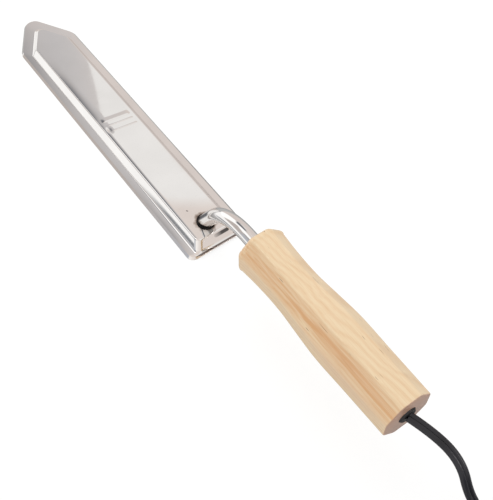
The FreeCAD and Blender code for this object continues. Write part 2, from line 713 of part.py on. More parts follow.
def thermostat():
    """An open case on the base plate, a cover, two terminal strips and a contact arm on a pin.
    The pin stands in two ears of the supply strip, and the arm's free end lies over the load
    strip."""
    case_x = "case_start - neck_setback"
    floor = "base_thickness + case_floor"
    lid = "plateau_height - sheet_thickness - cover_thickness"
    case = middle_box("case", case_x, "0", "base_thickness",
                      ("case_length", "case_width", "%s - base_thickness" % lid))
    room = middle_box("case_room", case_x + " + case_wall", "0", floor,
                      ("case_length - 2 * case_wall", "case_width - 2 * case_wall", "plateau_height"))
    slot = middle_box("case_slots", case_x + " - case_wall", "0", floor,
                      ("case_length + 2 * case_wall", "strip_width + 2 * slot_play",
                       "strip_thickness + slot_play"))
    node(cut("thermostat_case", case, [room, slot]), "thermostat_case")
    node(middle_box("cover", case_x, "0", lid, ("case_length", "case_width", "cover_thickness")),
         "thermostat_cover")

    pivot_x = case_x + " + pivot_place"
    pivot_z = pivot_height()
    supply = middle_box("supply_strip", case_x + " - strip_reach", "0", floor,
                        ("strip_reach + pivot_place + strip_end", "strip_width",
                         "strip_thickness"))
    ears = []
    ear_inside = "(arm_width / 2 + post_play)"
    for side, near in (("left", ear_inside), ("right", "-%s - post_wall" % ear_inside)):
        ears.append(box(side + "_ear", (pivot_x + " - post_length / 2", near, floor),
                        ("post_length", "post_wall",
                         "%s + post_rise - (%s)" % (pivot_z, floor))))
    bar = middle_box("ear_bar", pivot_x + " - post_length / 2", "0", floor,
                     ("post_length", "arm_width + 2 * post_play + 2 * post_wall",
                      "strip_thickness"))
    pin_length = "arm_width + 2 * post_play + 2 * post_wall"
    foot = (pivot_x, "-(%s) / 2" % pin_length, pivot_z)
    pin_hole = cylinder("ear_holes", foot, "pivot_diameter / 2", pin_length, (0, 1, 0))
    strip = fuse("supply", [supply, bar] + ears)
    node(cut("supply_terminal", strip, [pin_hole]), "supply_terminal")
    node(cylinder("pin", foot, "pivot_diameter / 2", pin_length, (0, 1, 0)), "pivot_pin")

    contact_x = pivot_x + " + contact_place"
    load_x = contact_x + " - contact_diameter"
    load_end = case_x + " + case_length + strip_reach"
    node(middle_box("load_strip", load_x, "0", floor,
                    ("%s - (%s)" % (load_end, load_x), "strip_width", "strip_thickness")),
         "load_terminal")
    contact_z = floor + " + strip_thickness"
    node(cylinder("lower_contact", (contact_x, "0", contact_z), "contact_diameter / 2",
                  "contact_thickness", (0, 0, 1)), "fixed_contact")
    moving_z = contact_z + " + contact_thickness + contact_gap"
    node(cylinder("upper_contact", (contact_x, "0", moving_z), "contact_diameter / 2",
                  "contact_thickness", (0, 0, 1)), "moving_contact")

    bore = "(pivot_diameter / 2 + pivot_play)"
    eye_foot = (pivot_x, "-arm_width / 2", pivot_z)
    eye = cylinder("eye", eye_foot, bore + " + eye_wall", "arm_width", (0, 1, 0))
    eye_bore = cylinder("eye_bore", eye_foot, bore, "arm_width", (0, 1, 0))
    blade = middle_box("arm_blade", pivot_x, "0", "%s - arm_thickness / 2" % pivot_z,
                       ("arm_reach", "arm_width", "arm_thickness"))
    node(cut("bimetal_arm", fuse("arm", [eye, blade]), [eye_bore]), "bimetal_arm")


def pivot_height():
    """The arm lies on its own contact: floor, strip, two contacts with their gap, half the arm."""
    return ("(base_thickness + case_floor + strip_thickness + 2 * contact_thickness"
            " + contact_gap + arm_thickness / 2)")


# Cord, coil and plug

def cord_route():
    """From the bushing down to the table and on to the coil, chosen by hand."""
    rest = size["cord_width"] / 2
    exit_x = -size["handle_setback"] - size["handle_length"] - size["bushing_lip"]
    return [
        Vector(exit_x, 0, size["handle_height"]),
        Vector(-196.0, -5.0, 41.5),
        Vector(-212.5, -9.0, 33.0),
        Vector(-225.0, -9.5, 15.0),
        Vector(-236.5, -12.0, 6.2),
        Vector(-250.5, -17.0, rest),
        Vector(-262.0, -27.5, rest),
        Vector(-274.4, -32.5, rest),
    ]


def tail_route():
    """From the coil's upper turns down to the sleeve behind the plug, chosen by hand."""
    return [
        Vector(-287.1, -33.1, 11.2),
        Vector(-300.0, -30.5, 10.8),
        Vector(-313.5, -23.5, 8.0),
        Vector(-326.5, -20.5, size["plug_height"] / 2),
    ]


def beyond(end, before):
    """A point past the end of a route, so that the tube fills the face that it is cut at."""
    return end + (end - before).normalize() * (size["cord_width"] / 2)


def cord_run(label, points, face_x, side):
    """The tube of a stretch of cord, up to where it goes into the coil. It is cut off square at
    face_x, on the side (1 or -1 along X) where it meets the handle or the plug."""
    path = rounded_path(points, report=label)
    tube = swept(path, size["cord_width"])
    section = math.pi * size["cord_width"] ** 2 / 4
    print("%s length %.1f, volume over section times length %.4f"
          % (label, path.Length, tube.Volume / (section * path.Length)))
    coil_outside = size["coil_radius"] + size["coil_band"] / 2
    place = Vector(-size["coil_place"], -size["coil_offset"], 0)
    turns = Part.makeCylinder(coil_outside, size["coil_height"], place)
    reach = CUT_REACH * size["cord_width"]
    end = points[0] if side > 0 else points[-1]
    past_face = Part.makeBox(reach, 2 * reach, 2 * reach)
    past_face.translate(Vector(face_x if side > 0 else face_x - reach, end.y - reach, end.z - reach))
    return feature_of(tube.cut(turns).cut(past_face), label)


def mains_cord():
    route = cord_route()
    exit_x = route[0].x
    return cord_run("mains_cord", [beyond(route[0], route[1])] + route[1:], exit_x, 1)


def cord_tail():
    route = tail_route()
    relief_x = route[-1].x
    return cord_run("cord_tail", route[:-1] + [beyond(route[-1], route[-2])], relief_x, -1)


def coil():
    """The put-away length as one ring, with the band that ties its turns."""
    body = new_body("CoilRing")
    ring = new_sketch(body, "coil_ring", "XY_Plane", "0")
    for side in ("+", "-"):
        circle(ring, "coil_radius %s coil_band / 2" % side, ("-coil_place", "-coil_offset"))
    ring_pad = pad(body, ring, "coil_height")
    fillet(body, "coil_rounding", ring_pad, "coil_round", lambda edge: len(edge.Vertexes) == 1)
    inside = "coil_band + 2 * tie_play"
    start = "coil_radius - coil_place - coil_band / 2 - tie_play"
    outer = middle_box("tie_outside", start + " - tie_wall", "-coil_offset", "0",
                       (inside + " + 2 * tie_wall", "tie_width",
                        "coil_height + tie_play + 2 * tie_wall"))
    inner = middle_box("tie_inside", start, "-coil_offset", "tie_wall",
                       (inside, "tie_width", "coil_height + tie_play"))
    tie = node(cut("coil_tie", outer, [inner]), "coil_tie")
    node(cut("cord_coil", body, [tie]), "cord_coil")


def plug():
    """Flat two-pin plug on its side, its tapered sleeve towards the coil."""
    end = tail_route()[-1]
    height = "plug_height / 2"
    relief = doc.addObject("Part::Cone", "relief")
    relief.Placement = Placement(Vector(end.x, end.y, 0), Rotation(Vector(0, 0, 1), Vector(-1, 0, 0)))
    bind(relief, "Placement.Base.z", height)
    bind(relief, "Radius1", "cord_width / 2 + relief_wall")
    bind(relief, "Radius2", "relief_diameter / 2")
    bind(relief, "Height", "relief_length")
    node(relief, "plug_relief")

    face_x = "%.1f - relief_length - plug_length" % end.x
    middle_y = "%.1f" % end.y
    body = new_body("PlugBody")
    outline = new_sketch(body, "plug_outline", "XY_Plane", "0")
    left = "%s + plug_width / 2" % middle_y
    right = "%s - plug_width / 2" % middle_y
    back_x = face_x + " + plug_length"
    polygon(outline, [(face_x, right), (back_x, right), (back_x, left), (face_x, left)])
    block = pad(body, outline, "plug_height")
    block = fillet(body, "plug_corners", block, "plug_round", upright)
    fillet(body, "plug_edges", block, "plug_edge", level)
    holes = []
    pins = []
    for side, sign in (("left", "+"), ("right", "-")):
        pin_y = "%s %s pin_spacing / 2" % (middle_y, sign)
        foot = (face_x + " + pin_root", pin_y, height)
        holes.append(cylinder(side + "_pin_hole", foot, "pin_neck / 2", "pin_root", (-1, 0, 0)))
        neck = cylinder(side + "_pin_neck", foot, "pin_neck / 2",
                        "pin_root + pin_sleeved", (-1, 0, 0))
        start = (face_x + " - pin_sleeved", pin_y, height)
        bare = cylinder(side + "_pin_bare", start, "pin_diameter / 2",
                        "pin_bare - pin_diameter / 2", (-1, 0, 0))
        tip = doc.addObject("Part::Sphere", side + "_pin_tip")
        bind(tip, "Radius", "pin_diameter / 2")
        tip_x = face_x + " - pin_sleeved - pin_bare + pin_diameter / 2"
        for axis, formula in zip("xyz", (tip_x, pin_y, height)):
            bind(tip, "Placement.Base." + axis, formula)
        pins.append(fuse(side + "_pin", [neck, bare, tip]))
        sleeve_foot = (face_x, pin_y, height)
        sleeve = cylinder(side + "_sleeve", sleeve_foot, "pin_diameter / 2",
                          "pin_sleeved", (-1, 0, 0))
        bore = cylinder(side + "_bore", sleeve_foot, "pin_neck / 2", "pin_sleeved", (-1, 0, 0))
        node(cut(side + "_pin_sleeve", sleeve, [bore]), side + "_pin_sleeve")
    node(cut("plug_body", body, holes), "plug_body")
    both = doc.addObject("Part::Compound", "both_pins")
    both.Links = pins
    node(both, "plug_pins")


base_plate()
blade_shell()
neck_tube()
neck_weld()
bond_sleeve()
handle()
live_lead()
neutral_lead()
link_lead()
wire_joints()
cord_entry()
heater()
heater_ribbon()
thermostat()
mains_cord()
cord_tail()
coil()
plug()
doc.recompute()

faults = [feature.Name for feature in doc.Objects
          if "Invalid" in feature.State or "Error" in feature.State]
faults += [feature.Label for feature in nodes
           if feature.Shape.isNull() or not feature.Shape.isValid()]
if faults:
    raise RuntimeError("not built: " + ", ".join(faults))

os.makedirs("parts", exist_ok=True)
for feature in nodes:
    feature.Shape.exportStep("parts/%s.step" % feature.Label)
    print("%-20s %2d solid(s) %10.1f mm3"
          % (feature.Label, len(feature.Shape.Solids), feature.Shape.Volume))
print(len(nodes), "sub-parts")
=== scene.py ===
import bmesh
import bpy
import numpy as np
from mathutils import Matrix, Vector


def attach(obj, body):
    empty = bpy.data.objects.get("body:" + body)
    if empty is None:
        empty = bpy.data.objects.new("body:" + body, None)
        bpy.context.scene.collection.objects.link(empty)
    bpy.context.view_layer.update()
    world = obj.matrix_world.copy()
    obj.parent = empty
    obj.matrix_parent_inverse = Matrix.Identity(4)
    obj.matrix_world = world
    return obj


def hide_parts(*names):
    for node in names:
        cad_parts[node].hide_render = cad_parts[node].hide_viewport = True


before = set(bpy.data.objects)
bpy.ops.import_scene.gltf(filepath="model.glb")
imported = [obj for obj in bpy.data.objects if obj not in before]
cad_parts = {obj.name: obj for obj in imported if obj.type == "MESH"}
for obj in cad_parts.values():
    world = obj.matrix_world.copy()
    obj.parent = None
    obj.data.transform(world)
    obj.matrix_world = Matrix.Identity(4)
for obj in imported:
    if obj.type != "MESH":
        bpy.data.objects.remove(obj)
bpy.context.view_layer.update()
mm = 0.001
creaseAngle = 0.55
print("frame loaded")

# Camera. The put-away cord has to stay outside its view.
cameraView = {"place": (-0.2595, 0.1542, 0.4072), "forward": (0.4639, -0.3336, -0.8207), "lens": 56.54}


def makeCamera(view):
    camera = bpy.data.objects.new("camera", bpy.data.cameras.new("camera"))
    bpy.context.scene.collection.objects.link(camera)
    camera.location = view["place"]
    camera.rotation_mode = "QUATERNION"
    camera.rotation_quaternion = Vector(view["forward"]).to_track_quat("-Z", "Y")
    camera.data.lens = view["lens"]
    camera.data.clip_start = 0.01
    bpy.context.scene.camera = camera


makeCamera(cameraView)


# Mesh helpers. A surface is a grid of points worked out as whole arrays.

def gridFaces(rows, columns, wrapRows, wrapColumns):
    # Quads between neighbouring points of a grid; a wrapped side closes on its own start.
    i, j = np.meshgrid(np.arange(rows - (not wrapRows)), np.arange(columns - (not wrapColumns)),
                       indexing="ij")
    nextI = (i + 1) % rows
    nextJ = (j + 1) % columns
    quads = (i * columns + j, i * columns + nextJ, nextI * columns + nextJ, nextI * columns + j)
    return np.stack(quads, axis=-1).reshape(-1, 4)


def addSurface(name, grid, body, material, wrapRows=False, wrapColumns=True):
    # Makes a closed mesh from a grid (rows, columns, 3) in millimetres. Points that fall
    # together at a pole or a ridge line are merged, and the faces are turned outwards. Edges
    # that turn by more than the crease angle stay sharp.
    rows, columns = grid.shape[:2]
    points = grid.reshape(-1, 3) * mm
    faces = gridFaces(rows, columns, wrapRows, wrapColumns)
    corners = points[faces]
    fanned = np.cross(corners[:, 1] - corners[:, 0], corners[:, 2] - corners[:, 0])
    fanned += np.cross(corners[:, 2] - corners[:, 0], corners[:, 3] - corners[:, 0])
    if np.einsum("ij,ij->i", fanned, corners.mean(axis=1)).sum() < 0:
        faces = faces[:, ::-1]
    mesh = bpy.data.meshes.new(name)
    mesh.from_pydata(points.tolist(), [], faces.tolist())
    shape = bmesh.new()
    shape.from_mesh(mesh)
    bmesh.ops.remove_doubles(shape, verts=shape.verts, dist=1e-7)
    bmesh.ops.dissolve_degenerate(shape, edges=shape.edges, dist=1e-8)
    shape.to_mesh(mesh)
    shape.free()
    mesh.shade_smooth()
    mesh.set_sharp_from_angle(angle=creaseAngle)
    piece = bpy.data.objects.new(name, mesh)
    bpy.context.scene.collection.objects.link(piece)
    mesh.materials.append(material)
    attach(piece, body)
    return piece


def sweep(line, outline, across=None):
    # Carries an outline along a line: at each point it lies square to the line, its first
    # coordinate level and its second upright. outline is (columns, 2) or (rows, columns, 2).
    tangent = np.gradient(line, axis=0)
    tangent /= np.linalg.norm(tangent, axis=1, keepdims=True)
    side = np.cross(tangent, (0, 0, 1)) if across is None else np.tile(across, (len(line), 1))
    side = side / np.linalg.norm(side, axis=1, keepdims=True)
    above = np.cross(side, tangent)
    outline = np.broadcast_to(outline, (len(line),) + outline.shape[-2:])
    return line[:, None] + side[:, None] * outline[:, :, :1] + above[:, None] * outline[:, :, 1:]


def closeEnds(grid, line):
    # Gathers both ends of a sweep in a point on its line.
    caps = [np.repeat(line[i][None, None], grid.shape[1], axis=1) for i in (0, -1)]
    return np.concatenate((caps[0], grid, caps[1]))


def circleOutline(radius, columns):
    turn = np.linspace(0, 2 * np.pi, columns, endpoint=False)
    return np.stack((radius * np.cos(turn), radius * np.sin(turn)), axis=-1)


def smoothStep(value, low, high):
    share = np.clip((value - low) / (high - low), 0, 1)
    return share * share * (3 - 2 * share)


# Materials

def linear(code):
    # The linear colour of an sRGB hex value.
    levels = np.array([int(code[i:i + 2], 16) / 255 for i in (0, 2, 4)])
    curved = np.where(levels <= 0.04045, levels / 12.92, ((levels + 0.055) / 1.055) ** 2.4)
    return (*curved, 1.0)


def addNode(material, kind, settings=(), links=()):
    # Adds a node, sets its properties and sockets by name or number, and links its inputs. A hex
    # colour is turned linear, stops fill a colour ramp, and from and to are the ends of a range.
    # A linked node gives the first of its outputs that is in use.
    node = material.node_tree.nodes.new("ShaderNode" + kind)
    for name, value in dict(settings).items():
        if name == "stops":
            elements = node.color_ramp.elements
            while len(elements) < len(value):
                elements.new(0.5)
            for element, (position, code) in zip(elements, value):
                element.position = position
                element.color = linear(code)
        elif name in ("from", "to"):
            for end, limit in zip((" Min", " Max"), value):
                node.inputs[name.title() + end].default_value = limit
        elif hasattr(node, name):
            setattr(node, name, value)
        else:
            socket = node.inputs[int(name) if name.isdigit() else name]
            socket.default_value = linear(value) if isinstance(value, str) else value
    for name, source in dict(links).items():
        if isinstance(source, bpy.types.Node):
            source = next(output for output in source.outputs if output.enabled)
        material.node_tree.links.new(source, node.inputs[int(name) if name.isdigit() else name])
    return node


def newMaterial(name, shader):
    # A material whose Principled shader has these constant values.
    material = bpy.data.materials.new(name)
    material.use_nodes = True
    surface = material.node_tree.nodes["Principled BSDF"]
    for socket, value in shader.items():
        surface.inputs[socket].default_value = linear(value) if isinstance(value, str) else value
    return material, surface


def dress(material, surface, colour, gloss, relief=None):
    # Links the nodes for the colour, the roughness and the bump to the shader.
    for socket, node in (("Base Color", colour), ("Roughness", gloss), ("Normal", relief)):
        if node is not None:
            output = next(output for output in node.outputs if output.enabled)
            material.node_tree.links.new(output, surface.inputs[socket])


def place(material, centre=(0, 0, 0), turn=(0, 0, 0), scale=(1, 1, 1)):
    # Object coordinates in millimetres, centred, turned and stretched on the piece.
    coordinates = addNode(material, "TexCoord")
    mapping = addNode(material, "Mapping", {"vector_type": "TEXTURE"},
                      {"Vector": coordinates.outputs["Object"]})
    mapping.inputs["Location"].default_value = tuple(v * mm for v in centre)
    mapping.inputs["Rotation"].default_value = turn
    mapping.inputs["Scale"].default_value = tuple(v * mm for v in scale)
    return mapping.outputs[0]


def finishMaterial(name, settings):
    # A finish in two close colours that drift over the piece, with uneven gloss and a grain
    # of a real size. stretch draws the pattern out along X.
    material, surface = newMaterial(name, settings.get("shader", {}))
    surface.inputs["Metallic"].default_value = settings.get("metallic", 0.0)
    where = place(material, scale=(settings.get("stretch", 1.0), 1, 1))
    drift = addNode(material, "TexNoise", {"Scale": 1 / settings["blotch"], "Detail": 3.0},
                    {"Vector": where})
    colour = addNode(material, "ValToRGB",
                     {"stops": ((0.3, settings["dark"]), (0.7, settings["light"]))}, {"Fac": drift})
    grain = addNode(material, "TexNoise", {"Scale": 1 / settings["grain"]}, {"Vector": where})
    gloss = addNode(material, "MapRange", {"from": (0.3, 0.7), "to": settings["rough"]}, {"Value": grain})
    relief = addNode(material, "Bump", {"Distance": settings["depth"] * mm}, {"Height": grain})
    dress(material, surface, colour, gloss, relief)
    return material


# Cord: a flat flexible cord with two cores. Its route repeats the CAD model's, lowered where the
# flat side lies on the table, and the put-away length is wound into the tied coil.
cordSizes = {
    "width": 5.8, "thickness": 3.6, "groove": 0.16, "grooveWidth": 0.24,
    "coilCentre": (-282.0, -4.0), "columnRadius": (32.3, 26.7), "layer": 3.6,
    "slotTurn": 318.0, "stepTurn": 40.0, "startTurn": -82.0, "slots": 8, "turnPoints": 18,
    "order": ((0, 0), (1, 0), (1, 1), (0, 1), (0, 2), (1, 2), (1, 3), (0, 3), (0, 3)),
}
cordRoute = [
    (-181.5, 0.0, 43.8), (-196.3, -5.6, 41.5), (-212.5, -9.2, 33.0), (-224.2, -8.2, 15.0),
    (-235.6, -10.6, 5.6), (-250.0, -17.4, 1.8), (-262.0, -28.5, 1.8),
]
cordEnd = [(-299.5, -35.2, 12.7), (-311.5, -30.0, 10.6), (-319.5, -23.2, 7.4), (-326.5, -20.5, 6.8)]


def coilTurns(sizes):
    # Points of the coil. Turn after turn lies in its slot, a column (outer or inner) and a layer
    # taken from order, and steps to the next slot a little earlier each time round.
    points = []
    step = 360 / sizes["turnPoints"]
    count = int(sizes["slots"] * sizes["slotTurn"] / step)
    stretch = 1 / np.cos(np.pi / sizes["turnPoints"])
    for number in range(count):
        travel = number * step
        slot = int(travel // sizes["slotTurn"])
        into = travel - slot * sizes["slotTurn"] - (sizes["slotTurn"] - sizes["stepTurn"])
        share = float(smoothStep(into, 0, sizes["stepTurn"]))
        (column, layer), (nextColumn, nextLayer) = sizes["order"][slot:slot + 2]
        radii = sizes["columnRadius"]
        radius = (radii[column] * (1 - share) + radii[nextColumn] * share) * stretch
        height = (layer * (1 - share) + nextLayer * share + 0.5) * sizes["layer"]
        angle = np.radians(sizes["startTurn"] - travel)
        points.append((sizes["coilCentre"][0] + radius * np.cos(angle),
                       sizes["coilCentre"][1] + radius * np.sin(angle), height))
    return points


def cordLine(points):
    # The centre line, read from a NURBS curve through the route's control points.
    curve = bpy.data.curves.new("cordLine", "CURVE")
    curve.dimensions = "3D"
    spline = curve.splines.new("NURBS")
    spline.points.add(len(points) - 1)
    for point, corner in zip(spline.points, points):
        point.co = (*(np.array(corner) * mm), 1.0)
    spline.order_u = 3
    spline.use_endpoint_u = True
    spline.resolution_u = 8
    holder = bpy.data.objects.new("cordLine", curve)
    line = bpy.data.meshes.new_from_object(holder)
    found = np.array([vertex.co for vertex in line.vertices]) / mm
    bpy.data.objects.remove(holder)
    return found


def twinOutline(width, thickness, columns):
    # Outline of two round cores side by side: along each direction, the far side of the nearer
    # circle, drawn in a little further at the groove between them.
    radius = thickness / 2
    apart = width / 2 - radius
    turn = np.linspace(0, 2 * np.pi, columns, endpoint=False)
    reach = apart * np.abs(np.cos(turn)) + np.sqrt(radius ** 2 - (apart * np.sin(turn)) ** 2)
    reach *= 1 - cordSizes["groove"] * np.exp(-(np.cos(turn) / cordSizes["grooveWidth"]) ** 2)
    return np.stack((reach * np.cos(turn), reach * np.sin(turn)), axis=-1)


# flexible PVC sheath, extruded: black with a soft satin shine and faint drawing marks
cordPvc = finishMaterial("flexible PVC sheath", {
    "dark": "202024", "light": "303036", "blotch": 30, "grain": 0.8, "rough": (0.16, 0.24), "depth": 0.006,
    "shader": {"Specular IOR Level": 0.3}})


def makeCord(sizes):
    line = cordLine(cordRoute + coilTurns(sizes) + cordEnd)
    outline = twinOutline(sizes["width"], sizes["thickness"], 36)
    grid = closeEnds(sweep(line, outline), line)
    cord = addSurface("cord", grid, "knife", cordPvc)
    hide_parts("mains_cord", "cord_coil", "cord_tail")
    return cord, line


cord, cordPath = makeCord(cordSizes)

# Blade shell: one pressed sheet, polished. Rows run from the middle of the raised top out over
# the fold, down the slope, across the rim and back underneath.
blade = {
    "width": 45.0, "straight": 234.7, "point": 38.5, "setback": 17.0,
    "tipRound": 8.0, "shoulderRound": 14.0, "heelRound": 5.0,
    "bottom": 1.0, "rimTop": 1.8, "rimInset": 0.9, "rimBevel": 0.5,
    "top": 7.5, "sheet": 0.8, "flange": 5.5, "tipFlange": 8.6,
    "sideRun": 4.0, "heelRun": 5.4, "heelFoot": 0.9, "ridge": 3.5, "foldRound": 1.0,
    "footRound": 0.7, "heelFootRound": 2.6, "footWidensFrom": 85.0,
    "rimDroop": 0.12, "droopAtHeel": 1.9, "droopLost": 1.1, "droopRun": (10, 110), "droopCurve": 1.15,
    "bevelLeast": 0.05, "spineBack": 12, "spineFront": 16, "waveFrom": 2.0, "waveTo": 0.5,
}
# how finely it is divided: points on each corner and side, and rows of each part of the section
bladeSteps = {
    "arc": 12, "side": (560, 40, 40, 560, 30), "fold": 13, "top": 24, "topCrowding": 1.6, "rim": 9,
}

# How the pressed top is not flat, in millimetres: two long waves, each with its height and its
# lengths along and across, and two rolls down towards the left fold, each with the stretches of
# X where it grows and fades, the y where it starts, its run, its limit and its depth
topWaves = {
    "swell": (0.05, 31.0, 14.0), "swellTurn": 0.4, "sway": (0.03, 57.0, 9.0),
    "rolls": (((98, 125), (150, 205), 6.5, 5, 1.3, 0.17), ((-20, -18), (98, 118), 10.6, 1.6, 1.4, 0.09)),
}

# Marks of the press across the raised top: place, width, height and gentle share of each, and
# a wrinkle by the left fold: its place along and across, its two sizes and its depth
pressMarks = {
    "slant": 0.14, "rightEnd": -10.0, "endRound": 1.2, "leftEnd": (8.0, 10.5),
    "steps": ((113.6, 4.4, 0.26, 0.86), (107.4, 1.5, 0.066, 0.7), (101.6, 1.5, 0.066, 0.7)),
    "wrinkle": (104.5, 9.8, 2.6, 1.5, 0.17),
}


def roundedOutline(half, heel, tip, rounds):
    # The blade's five-cornered outline as points. half is the half width, heel and tip the
    # insets from the heel and from the edges of the point. Each corner is an arc of its round.
    slope = blade["width"] / 2 / blade["point"]
    tipInset = tip * np.hypot(1, slope)
    end = blade["straight"] - blade["setback"]
    shoulder = end + (blade["width"] / 2 - half - tipInset) / slope
    point = end + (blade["width"] / 2 - tipInset) / slope
    back = heel - blade["setback"]
    corners = np.array([(back, -half), (shoulder, -half), (point, 0), (shoulder, half), (back, half)])
    before = np.roll(corners, 1, axis=0) - corners
    after = np.roll(corners, -1, axis=0) - corners
    before /= np.linalg.norm(before, axis=1, keepdims=True)
    after /= np.linalg.norm(after, axis=1, keepdims=True)
    halfAngle = np.arccos(np.einsum("ij,ij->i", before, after)) / 2
    reach = np.array(rounds) / np.tan(halfAngle)
    middle = before + after
    middle /= np.linalg.norm(middle, axis=1, keepdims=True)
    centre = corners + middle * (np.array(rounds) / np.sin(halfAngle))[:, None]
    points = []
    for i in range(len(corners)):
        share = np.linspace(-1, 1, bladeSteps["arc"])
        turned = np.pi / 2 - halfAngle[i]
        first = np.arctan2(-middle[i][1], -middle[i][0])
        angles = first + share * turned
        points.append(centre[i] + rounds[i] * np.stack((np.cos(angles), np.sin(angles)), axis=-1))
        following = (i + 1) % len(corners)
        start = corners[i] + after[i] * reach[i]
        finish = corners[following] + before[following] * reach[following]
        steps = np.linspace(0, 1, bladeSteps["side"][i] + 2)[1:-1, None]
        points.append(start + (finish - start) * steps)
    return np.concatenate(points)


def shellWaves(x, y):
    # Height by which the pressed top is not flat: sines for the long waves, squares for the
    # rolls, marks that rise steeply and fall away gently towards the tip, and a round hollow.
    tall, long, wide = topWaves["swell"]
    height = tall * np.sin(x / long + topWaves["swellTurn"]) * np.cos(y / wide)
    tall, long, wide = topWaves["sway"]
    height = height + tall * np.sin(x / long + y / wide)
    for grows, fades, start, run, limit, depth in topWaves["rolls"]:
        rolled = smoothStep(x, *grows) * smoothStep(-x, -fades[1], -fades[0])
        height -= depth * rolled * np.clip((y - start) / run, 0, limit) ** 2
    inside = smoothStep(y, pressMarks["rightEnd"], pressMarks["rightEnd"] + pressMarks["endRound"])
    inside = inside * smoothStep(-y, -pressMarks["leftEnd"][1], -pressMarks["leftEnd"][0])
    for middle, width, tall, share in pressMarks["steps"]:
        across = (x - middle - pressMarks["slant"] * y) / width + 0.5
        steep, gentle = across / (1 - share), (1 - across) / share
        height += tall * inside * np.clip(np.minimum(steep, gentle), 0, 1)
    along, over, length, breadth, depth = pressMarks["wrinkle"]
    return height - depth * np.exp(-((x - along) / length) ** 2 - ((y - over) / breadth) ** 2)


def makeBladeShell():
    rimRounds = np.array([blade["heelRound"], blade["shoulderRound"], blade["tipRound"],
                          blade["shoulderRound"], blade["heelRound"]])
    ridges = np.full(len(rimRounds), blade["ridge"])
    rise = blade["top"] - blade["bottom"]

    def rimRow(inset, height):
        # A row parallel to the blade's edge.
        outline = roundedOutline(blade["width"] / 2 - inset, inset, inset, rimRounds - inset)
        return np.column_stack((outline, np.full(len(outline), height)))

    def slopeRow(share, height, wall=0.0):
        # A row round the raised part, share of the way up its slope.
        run = blade["sideRun"] * share + wall
        outline = roundedOutline(blade["width"] / 2 - blade["flange"] - run,
                                 blade["heelFoot"] + blade["heelRun"] * share + wall,
                                 blade["tipFlange"] + run, ridges)
        return np.column_stack((outline, np.full(len(outline), height)))

    def spineRow(ring):
        # The middle line that a row round the raised part closes on.
        spine = ring.copy()
        spine[:, 0] = np.clip(ring[:, 0], back, front)
        spine[:, 1] = 0
        return spine

    # the section: slope line, rounded into the rim below and the top above
    tilt = np.arctan2(rise, blade["sideRun"])
    turn = np.linspace(0, tilt, bladeSteps["fold"])
    foldReach = blade["foldRound"] * np.tan(tilt / 2)
    foldX = blade["sideRun"] + foldReach - blade["foldRound"] * np.sin(turn)
    foldZ = blade["top"] - blade["foldRound"] * (1 - np.cos(turn))

    def footRows(bend):
        # Rows round the inner bend of this radius, from the slope down to the rim.
        start = (blade["rimTop"] - blade["bottom"]) / np.tan(tilt)
        footX = start - bend * np.tan(tilt / 2) + bend * np.sin(turn[::-1])
        footZ = blade["rimTop"] + bend * (1 - np.cos(turn[::-1]))
        return [slopeRow(run / blade["sideRun"], height) for run, height in zip(footX, footZ)]

    rows = [slopeRow(run / blade["sideRun"], height) for run, height in zip(foldX, foldZ)]
    for tight, wide in zip(footRows(blade["footRound"]), footRows(blade["heelFootRound"])):
        share = 1 - smoothStep(tight[:, :1], blade["heelRun"] - blade["setback"], blade["footWidensFrom"])
        rows.append(tight * (1 - share) + wide * share)
    ring = rows[0]
    back = ring[:, 0].min() + blade["spineBack"]
    front = ring[:, 0].max() - blade["spineFront"]
    shares = np.linspace(1, 0, bladeSteps["top"])[:-1, None, None] ** bladeSteps["topCrowding"]
    rows = list(ring[None] * (1 - shares) + spineRow(ring)[None] * shares) + rows

    # the rim droops a little towards its edge, more so at the heel
    lastSlope = rows[-1]
    rimEdge = rimRow(blade["rimInset"] + blade["rimBevel"], blade["rimTop"])
    lost = blade["droopLost"] * smoothStep(rimEdge[:, 0], *blade["droopRun"])
    droop = blade["rimDroop"] * (blade["droopAtHeel"] - lost)
    for share in np.linspace(0, 1, bladeSteps["rim"])[1:]:
        row = lastSlope * (1 - share) + rimEdge * share
        row[:, 2] -= droop * share ** blade["droopCurve"]
        rows.append(row)
    below = rimRow(blade["rimInset"], blade["rimTop"] - blade["rimBevel"])
    below[:, 2] = np.maximum(below[:, 2] - droop, blade["bottom"] + blade["bevelLeast"])
    rows += [below, rimRow(blade["rimInset"], blade["bottom"])]

    # back underneath, a sheet's thickness inside
    wall = blade["sheet"] / np.sin(tilt)
    inside = slopeRow(1 - blade["sheet"] / rise, blade["top"] - blade["sheet"], wall)
    rows += [slopeRow(0.0, blade["bottom"], wall), inside, spineRow(inside)]
    grid = np.array(rows)
    lift = smoothStep(grid[..., 2], blade["rimTop"] + blade["waveFrom"], blade["top"] - blade["waveTo"])
    grid[..., 2] += shellWaves(grid[..., 0], grid[..., 1]) * lift
    shell = addSurface("bladeShell", grid, "knife", stainless)
    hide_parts("blade_shell")


# A painted dark reflection on the heel's slope, drawn as a bar with round ends across it. It
# fades along fade from the first strength to the second, and edge is the blur of its outline.
heelReflectionBar = {
    "centre": (-12.2, -4.2, 0), "scale": (0.64, 1, 1), "halfLength": 4.4, "edge": (1.0, 1.4),
    "fade": (0.0, 5.2), "strength": (0.92, 0.25), "colour": "38393b",
}
# a speck of weld spatter left on the raised top
spatter = {
    "centre": (13.5, 4.9, 7.5), "turn": (0, 0, 0.6), "scale": (1, 0.5, 1), "edge": (0.55, 0.95),
    "strength": (0.9, 0.0), "colour": "3a3634",
}


